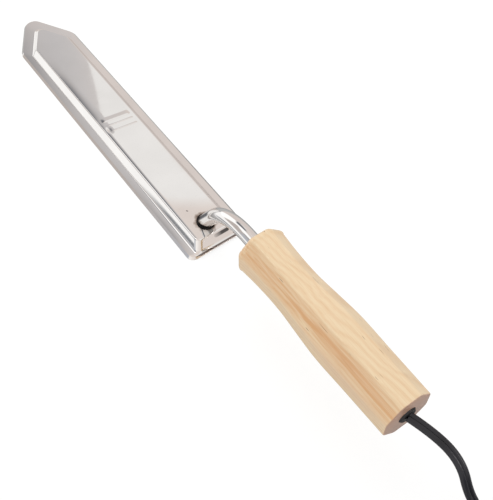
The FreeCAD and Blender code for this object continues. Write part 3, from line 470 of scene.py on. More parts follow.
def addPaintedHeelBar(material, colour):
    # Painted dark reflection: dark within a set distance of the bar's middle line, which runs along Y.
    half, middle = heelReflectionBar["halfLength"], place(material, heelReflectionBar["centre"], scale=heelReflectionBar["scale"])
    flat = addNode(material, "VectorMath", {"operation": "MULTIPLY", "1": (1, 1, 0)}, {"0": middle})
    low = addNode(material, "VectorMath", {"operation": "MINIMUM", "1": (0, half, 0)}, {"0": flat})
    high = addNode(material, "VectorMath", {"operation": "MAXIMUM", "1": (0, -half, 0)}, {"0": low})
    nearest = addNode(material, "VectorMath", {"operation": "MULTIPLY", "1": (0, 1, 0)}, {"0": high})
    apart = addNode(material, "VectorMath", {"operation": "DISTANCE"}, {"0": flat, "1": nearest})
    inBar = addNode(material, "MapRange", {"from": heelReflectionBar["edge"], "to": (1.0, 0.0)}, {"Value": apart})
    parts = addNode(material, "SeparateXYZ", {}, {"Vector": flat})
    faded = addNode(material, "MapRange", {"from": heelReflectionBar["fade"], "to": heelReflectionBar["strength"]},
                    {"Value": parts.outputs["Y"]})
    share = addNode(material, "Math", {"operation": "MULTIPLY"}, {"0": inBar, "1": faded})
    return addNode(material, "Mix", {"data_type": "RGBA", "7": heelReflectionBar["colour"]},
                   {"0": share, "6": colour})


def addSpatter(material, colour):
    # Dark within a set distance of the speck's middle.
    where = place(material, spatter["centre"], spatter["turn"], spatter["scale"])
    away = addNode(material, "VectorMath", {"operation": "LENGTH"}, {"0": where})
    speck = addNode(material, "MapRange", {"from": spatter["edge"], "to": spatter["strength"]},
                    {"Value": away})
    return addNode(material, "Mix", {"data_type": "RGBA", "7": spatter["colour"]},
                   {"0": speck, "6": colour})


# What all the stainless pieces share, in millimetres: the wheel's lines and how far they are
# drawn out, the drift between two tones, the tint's blotches and how far they push it, and the
# width of the painted shade along the heel's edge, for the shadow gap under the shell
steelLook = {
    "wheelLine": 0.9, "wheelDrawn": 14, "wheelDepth": 0.0008, "drift": 26,
    "tones": ((0.3, "dad8d6"), (0.7, "e0dedc")), "tintBlotch": 3.5, "tintPush": -4.0,
    "tintScale": (1.12, 1, 1), "tintFrom": -1.6, "tintTo": 1.4,
    "tintTones": ((0.0, "6a5d57"), (0.35, "a59a93"), (0.7, "d8d3cf"), (1.0, "ffffff")),
    "edgeShadeWidth": 0.3, "edgeShadeStrength": 0.9, "edgeShadeColour": "5a4a44",
}


def makeStainless(name, roughness, heat, edgeShadeX, spatterAndPaintedBar=False):
    # Stainless steel, pressed and mirror polished: it takes its look from what it reflects,
    # with faint lines from the polishing wheel, a narrow brown heat tint as far as heat from the
    # weld's middle, a dark line of painted shade behind the edge it is given, for the shadow gap
    # between shell and base plate, and, where asked, the speck of spatter and a painted dark
    # reflection in the shape of a bar on the heel's slope.
    look = steelLook
    drawn = look["wheelDrawn"]
    material, surface = newMaterial(name, {"Metallic": 1.0})
    wheel = addNode(material, "TexNoise", {"Scale": 1 / look["wheelLine"], "Detail": 4.0},
                    {"Vector": place(material, scale=(1, drawn, drawn))})
    broad = addNode(material, "TexNoise", {"Scale": 1 / look["drift"]}, {"Vector": place(material)})
    steel = addNode(material, "ValToRGB", {"stops": look["tones"]}, {"Fac": broad})
    foot = place(material, centre=(0, 0, blade["top"]), scale=look["tintScale"])
    distance = addNode(material, "VectorMath", {"operation": "LENGTH"}, {"0": foot})
    uneven = addNode(material, "TexNoise", {"Scale": 1 / look["tintBlotch"]}, {"Vector": place(material)})
    edge = addNode(material, "Math", {"operation": "MULTIPLY_ADD", "1": look["tintPush"]},
                   {"0": uneven, "2": distance})
    cooled = addNode(material, "MapRange",
                     {"from": (heat + look["tintFrom"], heat + look["tintTo"])}, {"Value": edge})
    tint = addNode(material, "ValToRGB", {"stops": look["tintTones"]}, {"Fac": cooled})
    heated = addNode(material, "Mix", {"data_type": "RGBA", "blend_type": "MULTIPLY", "0": 1.0},
                     {"6": steel, "7": tint})
    coordinates = addNode(material, "TexCoord")
    parts = addNode(material, "SeparateXYZ", {}, {"Vector": coordinates.outputs["Object"]})
    # painted shade: a dark line along the heel's end, for the shadow gap between shell and base plate
    edgeShade = addNode(material, "MapRange",
                      {"from": (edgeShadeX * mm, (edgeShadeX + look["edgeShadeWidth"]) * mm),
                       "to": (look["edgeShadeStrength"], 0.0)}, {"Value": parts.outputs["X"]})
    colour = addNode(material, "Mix", {"data_type": "RGBA", "7": look["edgeShadeColour"]},
                     {"0": edgeShade, "6": heated})
    # where asked: the painted dark reflection across the heel's slope, and the speck of spatter
    if spatterAndPaintedBar:
        colour = addSpatter(material, addPaintedHeelBar(material, colour))
    gloss = addNode(material, "MapRange", {"from": (0.3, 0.7), "to": roughness}, {"Value": wheel})
    relief = addNode(material, "Bump", {"Distance": look["wheelDepth"] * mm}, {"Height": wheel})
    dress(material, surface, colour, gloss, relief)
    return material


stainless = makeStainless("mirror-polished stainless steel", (0.02, 0.05), 4.3, -16.2, spatterAndPaintedBar=True)
makeBladeShell()
print("blade shell made")

# Neck: a bent stainless tube, its foot cut level on the blade
neck = {
    "radius": 4.75, "wall": 1.0, "slope": 57.0, "bend": 43.0, "foot": blade["top"], "axis": 43.8,
    "handleFront": -56.0, "insert": 46.0, "columns": 64, "climbRows": 24, "bendRows": 40,
    "straightRows": 12, "footRows": 8,
}


def neckLine():
    # Centre line from below the foot, up its slope, round the bend and straight back.
    slope = np.radians(neck["slope"])
    corner = -(neck["axis"] - neck["foot"]) / np.tan(slope)
    reach = neck["bend"] * np.tan(slope / 2)
    along = np.array((-np.cos(slope), 0, np.sin(slope)))
    bendStart = np.array((corner, 0, neck["axis"])) - along * reach
    foot = np.array((0, 0, neck["foot"]))
    climb = foot + (bendStart - foot) * np.linspace(0, 1, neck["climbRows"])[:, None]
    turn = np.linspace(0, slope, neck["bendRows"])[1:]
    centreX = corner - reach
    centreZ = neck["axis"] - neck["bend"]
    angle = np.pi / 2 - slope + turn
    arc = np.stack((centreX + neck["bend"] * np.cos(angle), 0 * angle,
                    centreZ + neck["bend"] * np.sin(angle)), axis=-1)
    end = np.array((neck["handleFront"] - neck["insert"], 0, neck["axis"]))
    straight = arc[-1] + (end - arc[-1]) * np.linspace(0, 1, neck["straightRows"])[1:, None]
    return np.concatenate((climb, arc, straight)), along


def makeNeck():
    # Circles swept along the centre line, the lowest rows slid along it to end level on the blade.
    line, along = neckLine()
    level = neck["footRows"]
    walls = []
    for radius in (neck["radius"], neck["radius"] - neck["wall"]):
        surface = sweep(line, circleOutline(radius, neck["columns"]), across=(0, 1, 0))
        slide = (neck["foot"] - surface[:level, :, 2]) / along[2]
        share = np.linspace(1, 0, level)[:, None] ** 2
        surface[:level] += along * (slide * share)[..., None]
        walls.append(surface)
    grid = np.concatenate((walls[0], walls[1][::-1]))
    tube = addSurface("neckTube", grid, "knife", tubeSteel, wrapRows=True)
    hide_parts("neck_tube")


tubeSteel = makeStainless("polished stainless tube", (0.05, 0.09), 3.2, -300.0)
makeNeck()

# Weld: a bead laid by hand round the tube's foot
weld = {
    "along": 5.6, "across": 4.7, "thin": 0.55, "thick": 1.5, "heavySide": 2.8, "lumps": 0.07,
    "dents": 0.05, "lift": 0.05, "flatness": 0.75, "blotch": 1.8, "grain": 0.35, "grainDepth": 0.25,
    "tones": ((0.42, "0c0b0b"), (0.58, "1f1a18"), (0.70, "4a3b33"), (0.86, "9a8e86")),
    "rough": (0.6, 0.28), "heavyFrom": (-0.5, 0.8), "ripples": (19, 3, 1.2), "fineRipples": (31, 2.0, 0.6),
    "rows": 240, "columns": 28,
}


def makeWeld():
    # A ring of uneven thickness on the foot's ellipse, flattened. So many ripples go round it,
    # unevenly spaced, with finer ones over them and small dents.
    turn = np.linspace(0, 2 * np.pi, weld["rows"], endpoint=False)[:, None]
    section = np.linspace(0, 2 * np.pi, weld["columns"], endpoint=False)[None]
    heavy = smoothStep(np.cos(turn - weld["heavySide"]), *weld["heavyFrom"])
    count, drift, push = weld["ripples"]
    fineCount, shift, share = weld["fineRipples"]
    ripple = np.sin(count * turn + push * np.sin(drift * turn)) + share * np.sin(fineCount * turn + shift)
    thick = (weld["thin"] * (1 - heavy) + weld["thick"] * heavy) * (1 + weld["lumps"] * ripple)
    thick = thick + weld["dents"] * np.sin(17 * turn + 5 * section) * np.sin(7 * turn - 3 * section)
    out = thick * np.cos(section)
    x = (weld["along"] + out) * np.cos(turn)
    y = (weld["across"] + out) * np.sin(turn)
    z = neck["foot"] + weld["lift"] + weld["flatness"] * thick * np.sin(section)
    bead = addSurface("neckWeld", np.stack((x, y, z), axis=-1), "knife", weldSteel,
                      wrapRows=True)
    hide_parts("neck_weld")


def makeWeldSteel():
    # Weld metal left as laid: black scale with brown heat colour where it thins out.
    material, surface = newMaterial("weld metal with scale", {"Metallic": 0.75})
    where = place(material)
    blotch = addNode(material, "TexNoise",
                     {"Scale": 1 / weld["blotch"], "Detail": 5.0, "Roughness": 0.65}, {"Vector": where})
    fine = addNode(material, "TexNoise", {"Scale": 1 / weld["grain"], "Detail": 4.0}, {"Vector": where})
    colour = addNode(material, "ValToRGB", {"stops": weld["tones"]}, {"Fac": blotch})
    gloss = addNode(material, "MapRange", {"from": (0.3, 0.7), "to": weld["rough"]}, {"Value": blotch})
    relief = addNode(material, "Bump", {"Distance": weld["grainDepth"] * mm}, {"Height": fine})
    dress(material, surface, colour, gloss, relief)
    return material


weldSteel = makeWeldSteel()
makeWeld()
print("neck made")

# Handle: turned and planed to eight sides, varnished
handle = {
    "front": neck["handleFront"], "length": 124.5, "axis": neck["axis"], "edgeRound": 4.0,
    "places": (0.0, 17.0, 38.0, 53.0, 68.0, 96.0, 124.5),
    "widths": (32.7, 30.0, 29.2, 31.2, 33.2, 32.6, 31.8),
    "frontRound": 3.8, "rearBreak": 0.7, "frontHole": 5.0, "rearHole": 5.5, "wireWay": 3.75,
    "chamber": 74.0, "insert": neck["insert"], "columns": 208, "rows": 120, "endRows": (9, 4),
    "edgeLoss": 0.6, "edgeLeast": 1.5,
}


def smoothThrough(where, places, values):
    # A smooth curve through given values, with each slope taken from its two neighbours.
    places, values = np.array(places), np.array(values)
    slopes = np.gradient(values, places)
    i = np.clip(np.searchsorted(places, where, side="right") - 1, 0, len(places) - 2)
    run = places[i + 1] - places[i]
    t = (where - places[i]) / run
    return ((2 * t ** 3 - 3 * t ** 2 + 1) * values[i] + (t ** 3 - 2 * t ** 2 + t) * run * slopes[i]
            + (3 * t ** 2 - 2 * t ** 3) * values[i + 1] + (t ** 3 - t ** 2) * run * slopes[i + 1])


def octagonReach(turn, inner, edge):
    # Distance from the axis to an eight-sided outline with rounded corners, in a direction:
    # to the flat, or past its end to the corner's arc. inner is half the width across flats.
    eighth = np.pi / 8
    off = np.abs((turn + eighth) % (2 * eighth) - eighth)
    flat = inner / np.cos(off)
    corner = (inner - edge) / np.cos(eighth)
    beside = eighth - off
    arc = corner * np.cos(beside) + np.sqrt(np.maximum(edge ** 2 - (corner * np.sin(beside)) ** 2, 0))
    return np.where(inner * np.tan(off) <= (inner - edge) * np.tan(eighth), flat, arc)


def makeHandle():
    # Rings along the axis: out of the front hole, over the rounded front, along the grip, round
    # the back edge, and in again through the chamber and the hole for the tube.
    turn = np.linspace(0, 2 * np.pi, handle["columns"], endpoint=False)

    def ring(place, reach):
        x = np.full(len(turn), handle["front"] - place)
        return np.stack((x, reach * np.cos(turn), handle["axis"] + reach * np.sin(turn)), axis=-1)

    def half(place):
        return smoothThrough(place, handle["places"], handle["widths"]) / 2 * np.cos(np.pi / 8)

    frontRows, rearRows = handle["endRows"]
    rounding = handle["frontRound"]
    rows = [ring(0, handle["frontHole"])]
    for angle in np.linspace(0, np.pi / 2, frontRows):
        inset = rounding * (1 - np.sin(angle))
        place = rounding * (1 - np.cos(angle))
        edge = max(handle["edgeRound"] - inset * handle["edgeLoss"], handle["edgeLeast"])
        rows.append(ring(place, octagonReach(turn, half(0) - inset, edge)))
    last = handle["length"] - handle["rearBreak"]
    for place in np.linspace(rounding, last, handle["rows"])[1:]:
        rows.append(ring(place, octagonReach(turn, half(place), handle["edgeRound"])))
    for angle in np.linspace(0, np.pi / 2, rearRows)[1:]:
        inset = handle["rearBreak"] * (1 - np.cos(angle))
        place = last + handle["rearBreak"] * np.sin(angle)
        rows.append(ring(place, octagonReach(turn, half(last) - inset, handle["edgeRound"] - inset)))
    chamberEnd = handle["length"] - handle["chamber"]
    for place, radius in ((handle["length"], handle["rearHole"]), (chamberEnd, handle["rearHole"]),
                          (chamberEnd, handle["wireWay"]), (handle["insert"], handle["wireWay"]),
                          (handle["insert"], handle["frontHole"])):
        rows.append(ring(place, radius))
    grip = addSurface("handleGrip", np.array(rows), "knife", wood, wrapRows=True)
    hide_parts("handle")


# Beech: growth rings about a millimetre apart round a pith beside the handle, so they show as
# fine lines on the left facets and as pointed arches on the right ones. fields gives each
# pattern's size across in millimetres, how far it is drawn out along the grain, its middle, its
# detail and its roughness.
woodLook = {
    "fields": {
        "wander": (12, 9, (-118, 0, 43.8), 2.0, 0.5), "patches": (14, 6, (-118, 0, 0), 2.0, 0.5),
        "streaks": (1.6, 45, (-118, 0, 0), 3.0, 0.5), "fibres": (0.5, 40, (0, 0, 0), 4.0, 0.6),
        "pores": (0.8, 13, (0, 0, 0), 0.0, 0.5),
    },
    "pith": (-118, 34, 20), "pithTurn": (0, 0.035, 0.06), "wanderReach": 5.0,
    "ringTones": ((0.0, "f3dab5"), (0.6, "f1d6b0"), (1.0, "eed0a8")),
    "bandCentre": (0, 11.5, 56), "bandScale": (60, 5.5, 8), "bandEdge": (0.3, 1.1),
    "bandStrength": (0.9, 0.0), "bandStreaks": (0.36, 0.6), "bandThin": (0.15, 1.0), "bandColour": "dfa871",
    "patchFrom": (0.5, 0.7), "patchStrength": (0.0, 0.35), "patchColour": "e6bd98",
    "fibreTones": ((0.30, "efdcc4"), (0.55, "ffffff")), "fibreShare": 0.45, "fibreDepth": 0.02,
    "poreTones": ((0.82, "ffffff"), (0.87, "7a4a2c")), "poreShare": 0.7, "rough": (0.36, 0.5),
    "endDepth": 0.35, "endBlur": 0.2, "endStrength": 0.85, "endColour": "b98f7c",
}


def makeWood():
    # Planed and varnished: the rings carry a redder band, partly painted shade on the upper left
    # facet, and pinkish patches, then fibres and short dark pores are laid over them, and a clear
    # glossy coat covers all.
    look = woodLook
    material, surface = newMaterial("varnished hardwood", {
        "Coat Weight": 0.5, "Coat Roughness": 0.14, "Specular IOR Level": 0.4})
    fields = {}
    for field, (size, drawn, middle, detail, rough) in look["fields"].items():
        fields[field] = addNode(material, "TexNoise",
                                {"Scale": 1 / size, "Detail": detail, "Roughness": rough},
                                {"Vector": place(material, middle, scale=(drawn, 1, 1))})

    # growth rings round the pith, which the wander bends
    moved = addNode(material, "VectorMath", {"operation": "SCALE", "Scale": look["wanderReach"]},
                    {"0": fields["wander"]})
    shifted = addNode(material, "VectorMath", {"operation": "ADD"},
                      {"0": place(material, look["pith"], look["pithTurn"]), "1": moved})
    growth = addNode(material, "TexWave",
                     {"wave_type": "RINGS", "rings_direction": "X", "wave_profile": "SIN",
                      "Scale": 0.13, "Distortion": 7.0, "Detail": 3.0, "Detail Scale": 0.35},
                     {"Vector": shifted})
    rings = addNode(material, "ValToRGB", {"stops": look["ringTones"]}, {"Fac": growth.outputs["Fac"]})

    # the redder band along the upper left facet, broken into streaks: partly the wood's colour and partly
    # painted shade for that facet
    side = place(material, look["bandCentre"], scale=look["bandScale"])
    off = addNode(material, "VectorMath", {"operation": "MULTIPLY", "1": (0, 1, 1)}, {"0": side})
    near = addNode(material, "VectorMath", {"operation": "LENGTH"}, {"0": off})
    band = addNode(material, "MapRange", {"from": look["bandEdge"], "to": look["bandStrength"]},
                   {"Value": near})
    uneven = addNode(material, "MapRange", {"from": look["bandStreaks"], "to": look["bandThin"]},
                     {"Value": fields["streaks"]})
    redder = addNode(material, "Math", {"operation": "MULTIPLY"}, {"0": band, "1": uneven})
    toned = addNode(material, "Mix", {"data_type": "RGBA", "7": look["bandColour"]},
                    {"0": redder, "6": rings})
    patched = addNode(material, "MapRange", {"from": look["patchFrom"], "to": look["patchStrength"]},
                      {"Value": fields["patches"]})
    pinker = addNode(material, "Mix", {"data_type": "RGBA", "7": look["patchColour"]},
                     {"0": patched, "6": toned})

    # fibres and pores, each as strong as its share
    fibre = addNode(material, "ValToRGB", {"stops": look["fibreTones"]}, {"Fac": fields["fibres"]})
    grained = addNode(material, "Mix",
                      {"data_type": "RGBA", "blend_type": "MULTIPLY", "0": look["fibreShare"]},
                      {"6": pinker, "7": fibre})
    pore = addNode(material, "ValToRGB", {"stops": look["poreTones"]}, {"Fac": fields["pores"]})
    porous = addNode(material, "Mix",
                     {"data_type": "RGBA", "blend_type": "MULTIPLY", "0": look["poreShare"]},
                     {"6": grained, "7": pore})

    # end grain on the sawn back, darker: partly because it drinks the varnish and partly as painted shade for
    # the back face in shadow
    coordinates = addNode(material, "TexCoord")
    parts = addNode(material, "SeparateXYZ", {}, {"Vector": coordinates.outputs["Object"]})
    rear = handle["front"] - handle["length"] + look["endDepth"]
    atBack = addNode(material, "MapRange",
                     {"from": ((rear - look["endBlur"]) * mm, (rear + look["endBlur"]) * mm),
                      "to": (look["endStrength"], 0.0)}, {"Value": parts.outputs["X"]})
    colour = addNode(material, "Mix", {"data_type": "RGBA", "7": look["endColour"]},
                     {"0": atBack, "6": porous})
    gloss = addNode(material, "MapRange", {"from": (0.3, 0.7), "to": look["rough"]},
                    {"Value": fields["fibres"]})
    relief = addNode(material, "Bump", {"Distance": look["fibreDepth"] * mm},
                     {"Height": fields["fibres"]})
    dress(material, surface, colour, gloss, relief)
    return material


wood = makeWood()
makeHandle()
print("handle made")

# Plug: moulded on, with a ribbed sleeve. It lies on the table behind the coil.
plug = {
    "sleeveStart": -326.5, "sleeve": 20.0, "body": 28.0, "middle": -20.5, "height": 6.8,
    "halfWidth": 16.5, "neckHalfWidth": 8.0, "halfHeight": 6.75, "squareness": 4.5, "swellTo": 0.62,
    "endShare": 0.045, "endRound": (1.6, 1.3),
    "gripRidges": 9, "gripDepth": 0.5, "gripFrom": (0.12, 0.2), "gripTo": (0.54, 0.62),
    "thin": 3.3, "thick": 4.75, "ribs": 6, "ribDepth": 0.55, "ribGap": 0.1, "ribsTo": 0.96,
}


def roundedBoxOutline(halfWidth, halfHeight, power, columns):
    # A superellipse: each coordinate is its half size times a power of cosine or sine.
    turn = np.linspace(0, 2 * np.pi, columns, endpoint=False)
    x = np.sign(np.cos(turn)) * np.abs(np.cos(turn)) ** (2 / power)
    y = np.sign(np.sin(turn)) * np.abs(np.sin(turn)) ** (2 / power)
    halfWidth, halfHeight = np.atleast_1d(halfWidth)[:, None], np.atleast_1d(halfHeight)[:, None]
    return np.stack((halfWidth * x, halfHeight * y), axis=-1)


def straightLine(start, length, shares):
    # Points along the plug's own axis, at shares of the length behind the start.
    x = start - length * shares
    return np.stack((x, np.full(len(x), plug["middle"]), np.full(len(x), plug["height"])), axis=-1)


def makePlug():
    # The body swells from its neck, rounded at both ends and ridged along its sides. The sleeve
    # thickens towards it, with grooves between its ribs.
    share = np.linspace(0, 1, 70)
    swell = smoothStep(share, 0.0, plug["swellTo"])
    fromEnd = np.minimum(np.minimum(share, 1 - share) / plug["endShare"], 1)
    drawnIn = 1 - np.sqrt(1 - (1 - fromEnd) ** 2)
    gripFrom, gripTo = plug["gripFrom"], plug["gripTo"]
    ridged = smoothStep(share, *gripFrom) * smoothStep(-share, -gripTo[1], -gripTo[0])
    ridged = ridged * (np.cos(share * 2 * np.pi * plug["gripRidges"]) > 0)
    halfWidth = plug["neckHalfWidth"] * (1 - swell) + plug["halfWidth"] * swell
    halfWidth = halfWidth - plug["endRound"][0] * drawnIn - plug["gripDepth"] * ridged
    halfHeight = plug["halfHeight"] - plug["endRound"][1] * drawnIn
    outline = roundedBoxOutline(halfWidth, halfHeight, plug["squareness"], 72)
    line = straightLine(plug["sleeveStart"] - plug["sleeve"], plug["body"], share)
    grid = closeEnds(sweep(line, outline, across=(0, 1, 0)), line)
    body = addSurface("plugBody", grid, "knife", plugPvc)
    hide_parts("plug_body")

    share = np.linspace(0, 1, 121)
    radius = plug["thin"] + (plug["thick"] - plug["thin"]) * share
    grooved = (np.cos(share * 2 * np.pi * plug["ribs"]) <= plug["ribGap"]) & (share < plug["ribsTo"])
    radius = radius - plug["ribDepth"] * grooved
    line = straightLine(plug["sleeveStart"], plug["sleeve"], share)
    outline = circleOutline(1.0, 40)[None] * radius[:, None, None]
    grid = closeEnds(sweep(line, outline, across=(0, 1, 0)), line)
    relief = addSurface("plugRelief", grid, "knife", plugPvc)
    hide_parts("plug_relief")
    return body, relief


# PVC, injection moulded against a spark-eroded mould: black, matt and finely grained
plugPvc = finishMaterial("moulded PVC", {
    "dark": "111113", "light": "1c1c1f", "blotch": 14, "grain": 0.5, "rough": (0.42, 0.55), "depth": 0.05})
plugBody, plugRelief = makePlug()
print("plug made")

# Finishes of the pieces that keep their CAD shape. finishColumns names the values after the
# pieces, in millimetres where they are sizes. The last two may be left out.
finishColumns = ("dark", "light", "blotch", "grain", "rough", "depth", "metallic", "stretch")
nodeFinishes = {
    # epoxy squeezed between tube and wood
    "amber epoxy": (("bond_sleeve",), "7a5528", "9a7038", 5, 1.0, (0.3, 0.5), 0.05),
    # phlogopite sheet: brown flakes with a glassy shine
    "mica sheet": (("lower_mica", "upper_mica", "heater_core"),
                   "8d7350", "c0a678", 9, 1.5, (0.2, 0.45), 0.02),
    # nickel-chrome ribbon, oxidised dull grey
    "oxidised nickel-chrome": (("heater_ribbon",), "5f5c5a", "8b8784", 4, 0.5, (0.35, 0.55), 0.01, 1.0),
    # woven glass fibre, white and fuzzy
    "glass fibre felt": (("glass_fibre_pad",), "d8d5c8", "efece2", 6, 0.5, (0.8, 0.95), 0.3),
    # stamped brass with light tarnish
    "stamped brass": (("supply_terminal", "load_terminal", "live_heater_tab", "neutral_heater_tab"),
                      "a9863f", "d2ae62", 3, 0.4, (0.25, 0.4), 0.01, 1.0),
    # silver rivets, slightly sulphided
    "contact silver": (("fixed_contact", "moving_contact"),
                       "b4b0a8", "e8e6e1", 1, 0.3, (0.2, 0.35), 0.01, 1.0),
    # rolled two-metal strip, pale grey with a yellow cast
    "bimetal strip": (("bimetal_arm",), "a09a8a", "c2bba8", 3, 0.4, (0.25, 0.4), 0.01, 1.0, 6),
    # drawn steel pin
    "drawn steel": (("pivot_pin",), "8c8c8e", "b5b5b8", 1, 0.3, (0.2, 0.3), 0.005, 1.0),
    # pressed phenolic resin, brown-black with a dull shine
    "phenolic moulding": (("thermostat_case", "thermostat_cover"),
                          "2a1a12", "402a1d", 4, 0.4, (0.35, 0.5), 0.03),
    # silicone insulation, matt red and blue
    "red silicone": (("live_lead", "live_core", "link_lead"),
                     "8e1d18", "b02c24", 8, 0.5, (0.5, 0.65), 0.03),
    "blue silicone": (("neutral_lead", "neutral_core"), "1c3f86", "2d57a8", 8, 0.5, (0.5, 0.65), 0.03),
    # tinned copper barrels, crimped
    "tinned copper": (("live_crimp", "neutral_crimp"), "9d9a94", "c9c6bf", 2, 0.4, (0.3, 0.45), 0.02, 1.0),
    # shrink sleeve, black polyolefin
    "polyolefin sleeve": (("live_shrink", "neutral_shrink"), "141416", "222225", 4, 0.6, (0.4, 0.55), 0.04),
    # natural nylon, moulded: milky white
    "natural nylon": (("cord_clamp",), "d9d3c2", "ece7da", 5, 0.5, (0.35, 0.5), 0.03),
    # moulded rubber, black with a grey bloom
    "moulded rubber": (("cord_bushing", "coil_tie"), "0c0c0d", "1e1e20", 4, 0.4, (0.5, 0.7), 0.05),
    # sheath inside the handle
    "inner PVC sheath": (("cord_inner",), "0e0e10", "1b1b1e", 20, 0.6, (0.35, 0.45), 0.03),
    # nickel-plated brass pins and their black sleeves
    "nickel plate": (("plug_pins",), "b8b4ac", "d8d5ce", 3, 0.4, (0.15, 0.25), 0.005, 1.0),
    "pin sleeve PVC": (("left_pin_sleeve", "right_pin_sleeve"),
                       "121214", "202023", 3, 0.4, (0.4, 0.5), 0.03),
}


def dressNodes():
    for name, (pieces, *values) in nodeFinishes.items():
        material = finishMaterial(name, dict(zip(finishColumns, values)))
        for piece in pieces:
            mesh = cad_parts[piece].data
            mesh.materials.clear()
            mesh.materials.append(material)
    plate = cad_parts["base_plate"].data
    plate.materials.clear()
    plate.materials.append(makeStainless("ground stainless plate", (0.12, 0.2), 0.0, -300.0))


dressNodes()
print("CAD pieces finished")

# Studio: a pale floor, a white surround and soft light from above. The rest is only what polished
# metal sees. Angles are in degrees: above the horizon for heights, and from +X towards +Y for
# bearings. A pale board stands right of boardEdge, with a darker foot, and its far side runs where
# Y over Z is boardSide. The floor is brighter left of the pool's edge, and the streaks lie on it
# left of the heel, over streaksWidth metres from streaksFrom, and fade out along X by streaksTo.
studio = {
    "floorSize": 3.0, "floorColour": "f4f3f1", "skyLight": 0.8, "metalLight": 1.42,
    "keyPower": 4.0, "keySize": 0.9, "keyPlace": (0.55, -0.35, 1.1), "keyAim": (-0.03, 0.0, 0.0),
    "horizon": (34.0, 38.5), "boardEdge": -20.9, "boardSide": (-0.445, -0.425), "footColour": "bdb8bc",
    "boardLayers": (((40.0, 40.8), "e3e2e1"), ((51.0, 52.0), "d8cfca"), ((57.0, 60.0), "e3e2e1")),
    "ceiling": (57.0, 61.0), "ceilingColour": "d8cfca",
    "floorGlow": 1.1, "floorShade": 0.5, "glowShare": 0.75, "pool": (0.025, 0.045),
    "streaksFrom": 0.035, "streaksWidth": 0.075, "streaksSlant": 0.2, "streaksTo": (0.05, 0.085),
    "lampBlur": 3, "lampCore": 0.6,
}
# the room by bearing: a pinkish wall, the board's shaded back, a dark gap, a lit wall, the dark
# room beside it and the wall again; above the horizon, and below it
surroundTones = (
    (-180, "d8cfca"), (-120, "d4cac5"), (-60, "d3cac6"), (-24, "d0c8c4"), (-19, "bebcbd"),
    (-16, "b4b1b1"), (-11, "7c7c80"), (-2, "626469"), (9, "7c7e84"), (17, "ffffff"),
    (47, "ffffff"), (53, "4c505a"), (74, "555963"), (84, "f4f1ee"), (120, "e6e1dd"), (180, "d8cfca"),
)
lowTones = (
    (-180, "d8cfca"), (-60, "cfc6c2"), (-9, "cbc2be"), (-3, "ffffff"), (25, "ffffff"),
    (31, "b4aca8"), (52, "b4aca8"), (60, "aeb2ba"), (74, "aeb2ba"), (90, "f4f1ee"), (180, "d8cfca"),
)
# the floor's streaks, from the blade outwards: white, a wide grey shadow, and white again
streakTones = (
    (0.0, "c9c8c9"), (0.16, "c9c8c9"), (0.20, "ffffff"), (0.25, "ffffff"), (0.29, "a3a7b0"),
    (0.36, "5f636b"), (0.68, "5f636b"), (0.79, "ffffff"), (1.0, "ffffff"),
)
# strip lamps: bearing, half width, lower and upper end, brightness
lamps = ((46, 8, 54, 68, 3.2), (-147, 5, 2, 37, 4.0))


def makeFloor():
    half = studio["floorSize"] / 2
    corners = [(-half, -half, -0.0002), (half, -half, -0.0002), (half, half, -0.0002), (-half, half, -0.0002)]
    mesh = bpy.data.meshes.new("floor")
    mesh.from_pydata(corners, [], [(0, 1, 2, 3)])
    floor = bpy.data.objects.new("floor", mesh)
    bpy.context.scene.collection.objects.link(floor)
    material, surface = newMaterial("pale floor", {
        "Base Color": studio["floorColour"], "Roughness": 0.9, "Specular IOR Level": 0.1})
    path = addNode(material, "LightPath")
    coordinates = addNode(material, "TexCoord")
    parts = addNode(material, "SeparateXYZ", {}, {"Vector": coordinates.outputs["Object"]})

    # how bright it glows: evenly for the camera, and shaded outside the pool for polished metal
    pool = addNode(material, "MapRange",
                   {"from": studio["pool"], "to": (studio["floorShade"], studio["metalLight"])},
                   {"Value": parts.outputs["Y"]})
    strength = addNode(material, "Mix", {"data_type": "FLOAT", "3": studio["floorGlow"]},
                       {"0": path.outputs["Is Camera Ray"], "2": pool})

    # near the heel the floor is streaked with the shadows of the stand, for polished metal only
    slanted = addNode(material, "Math", {"operation": "MULTIPLY_ADD", "1": studio["streaksSlant"]},
                      {"0": parts.outputs["X"], "2": parts.outputs["Y"]})
    over = addNode(material, "MapRange",
                   {"from": (studio["streaksFrom"], studio["streaksFrom"] + studio["streaksWidth"])},
                   {"Value": slanted})
    nearHeel = addNode(material, "MapRange", {"from": studio["streaksTo"], "to": (1.0, 0.0)},
                       {"Value": parts.outputs["X"]})
    streaked = addNode(material, "Math", {"operation": "MULTIPLY"},
                       {"0": nearHeel, "1": path.outputs["Is Glossy Ray"]})
    streaks = addNode(material, "ValToRGB", {"stops": streakTones}, {"Fac": over})
    tones = addNode(material, "Mix", {"data_type": "RGBA", "6": "ffffff"}, {"0": streaked, "7": streaks})

    # a share of the glow over the plain floor, so that the object's shadow stays
    glow = addNode(material, "Emission", {}, {"Strength": strength, "Color": tones})
    seen = addNode(material, "Math", {"operation": "MAXIMUM"},
                   {"0": path.outputs["Is Camera Ray"], "1": path.outputs["Is Glossy Ray"]})
    share = addNode(material, "Math", {"operation": "MULTIPLY", "1": studio["glowShare"]}, {"0": seen})
    mixed = addNode(material, "MixShader", {}, {"0": share, "1": surface, "2": glow})
    output = material.node_tree.nodes["Material Output"]
    material.node_tree.links.new(mixed.outputs[0], output.inputs["Surface"])
    mesh.materials.append(material)


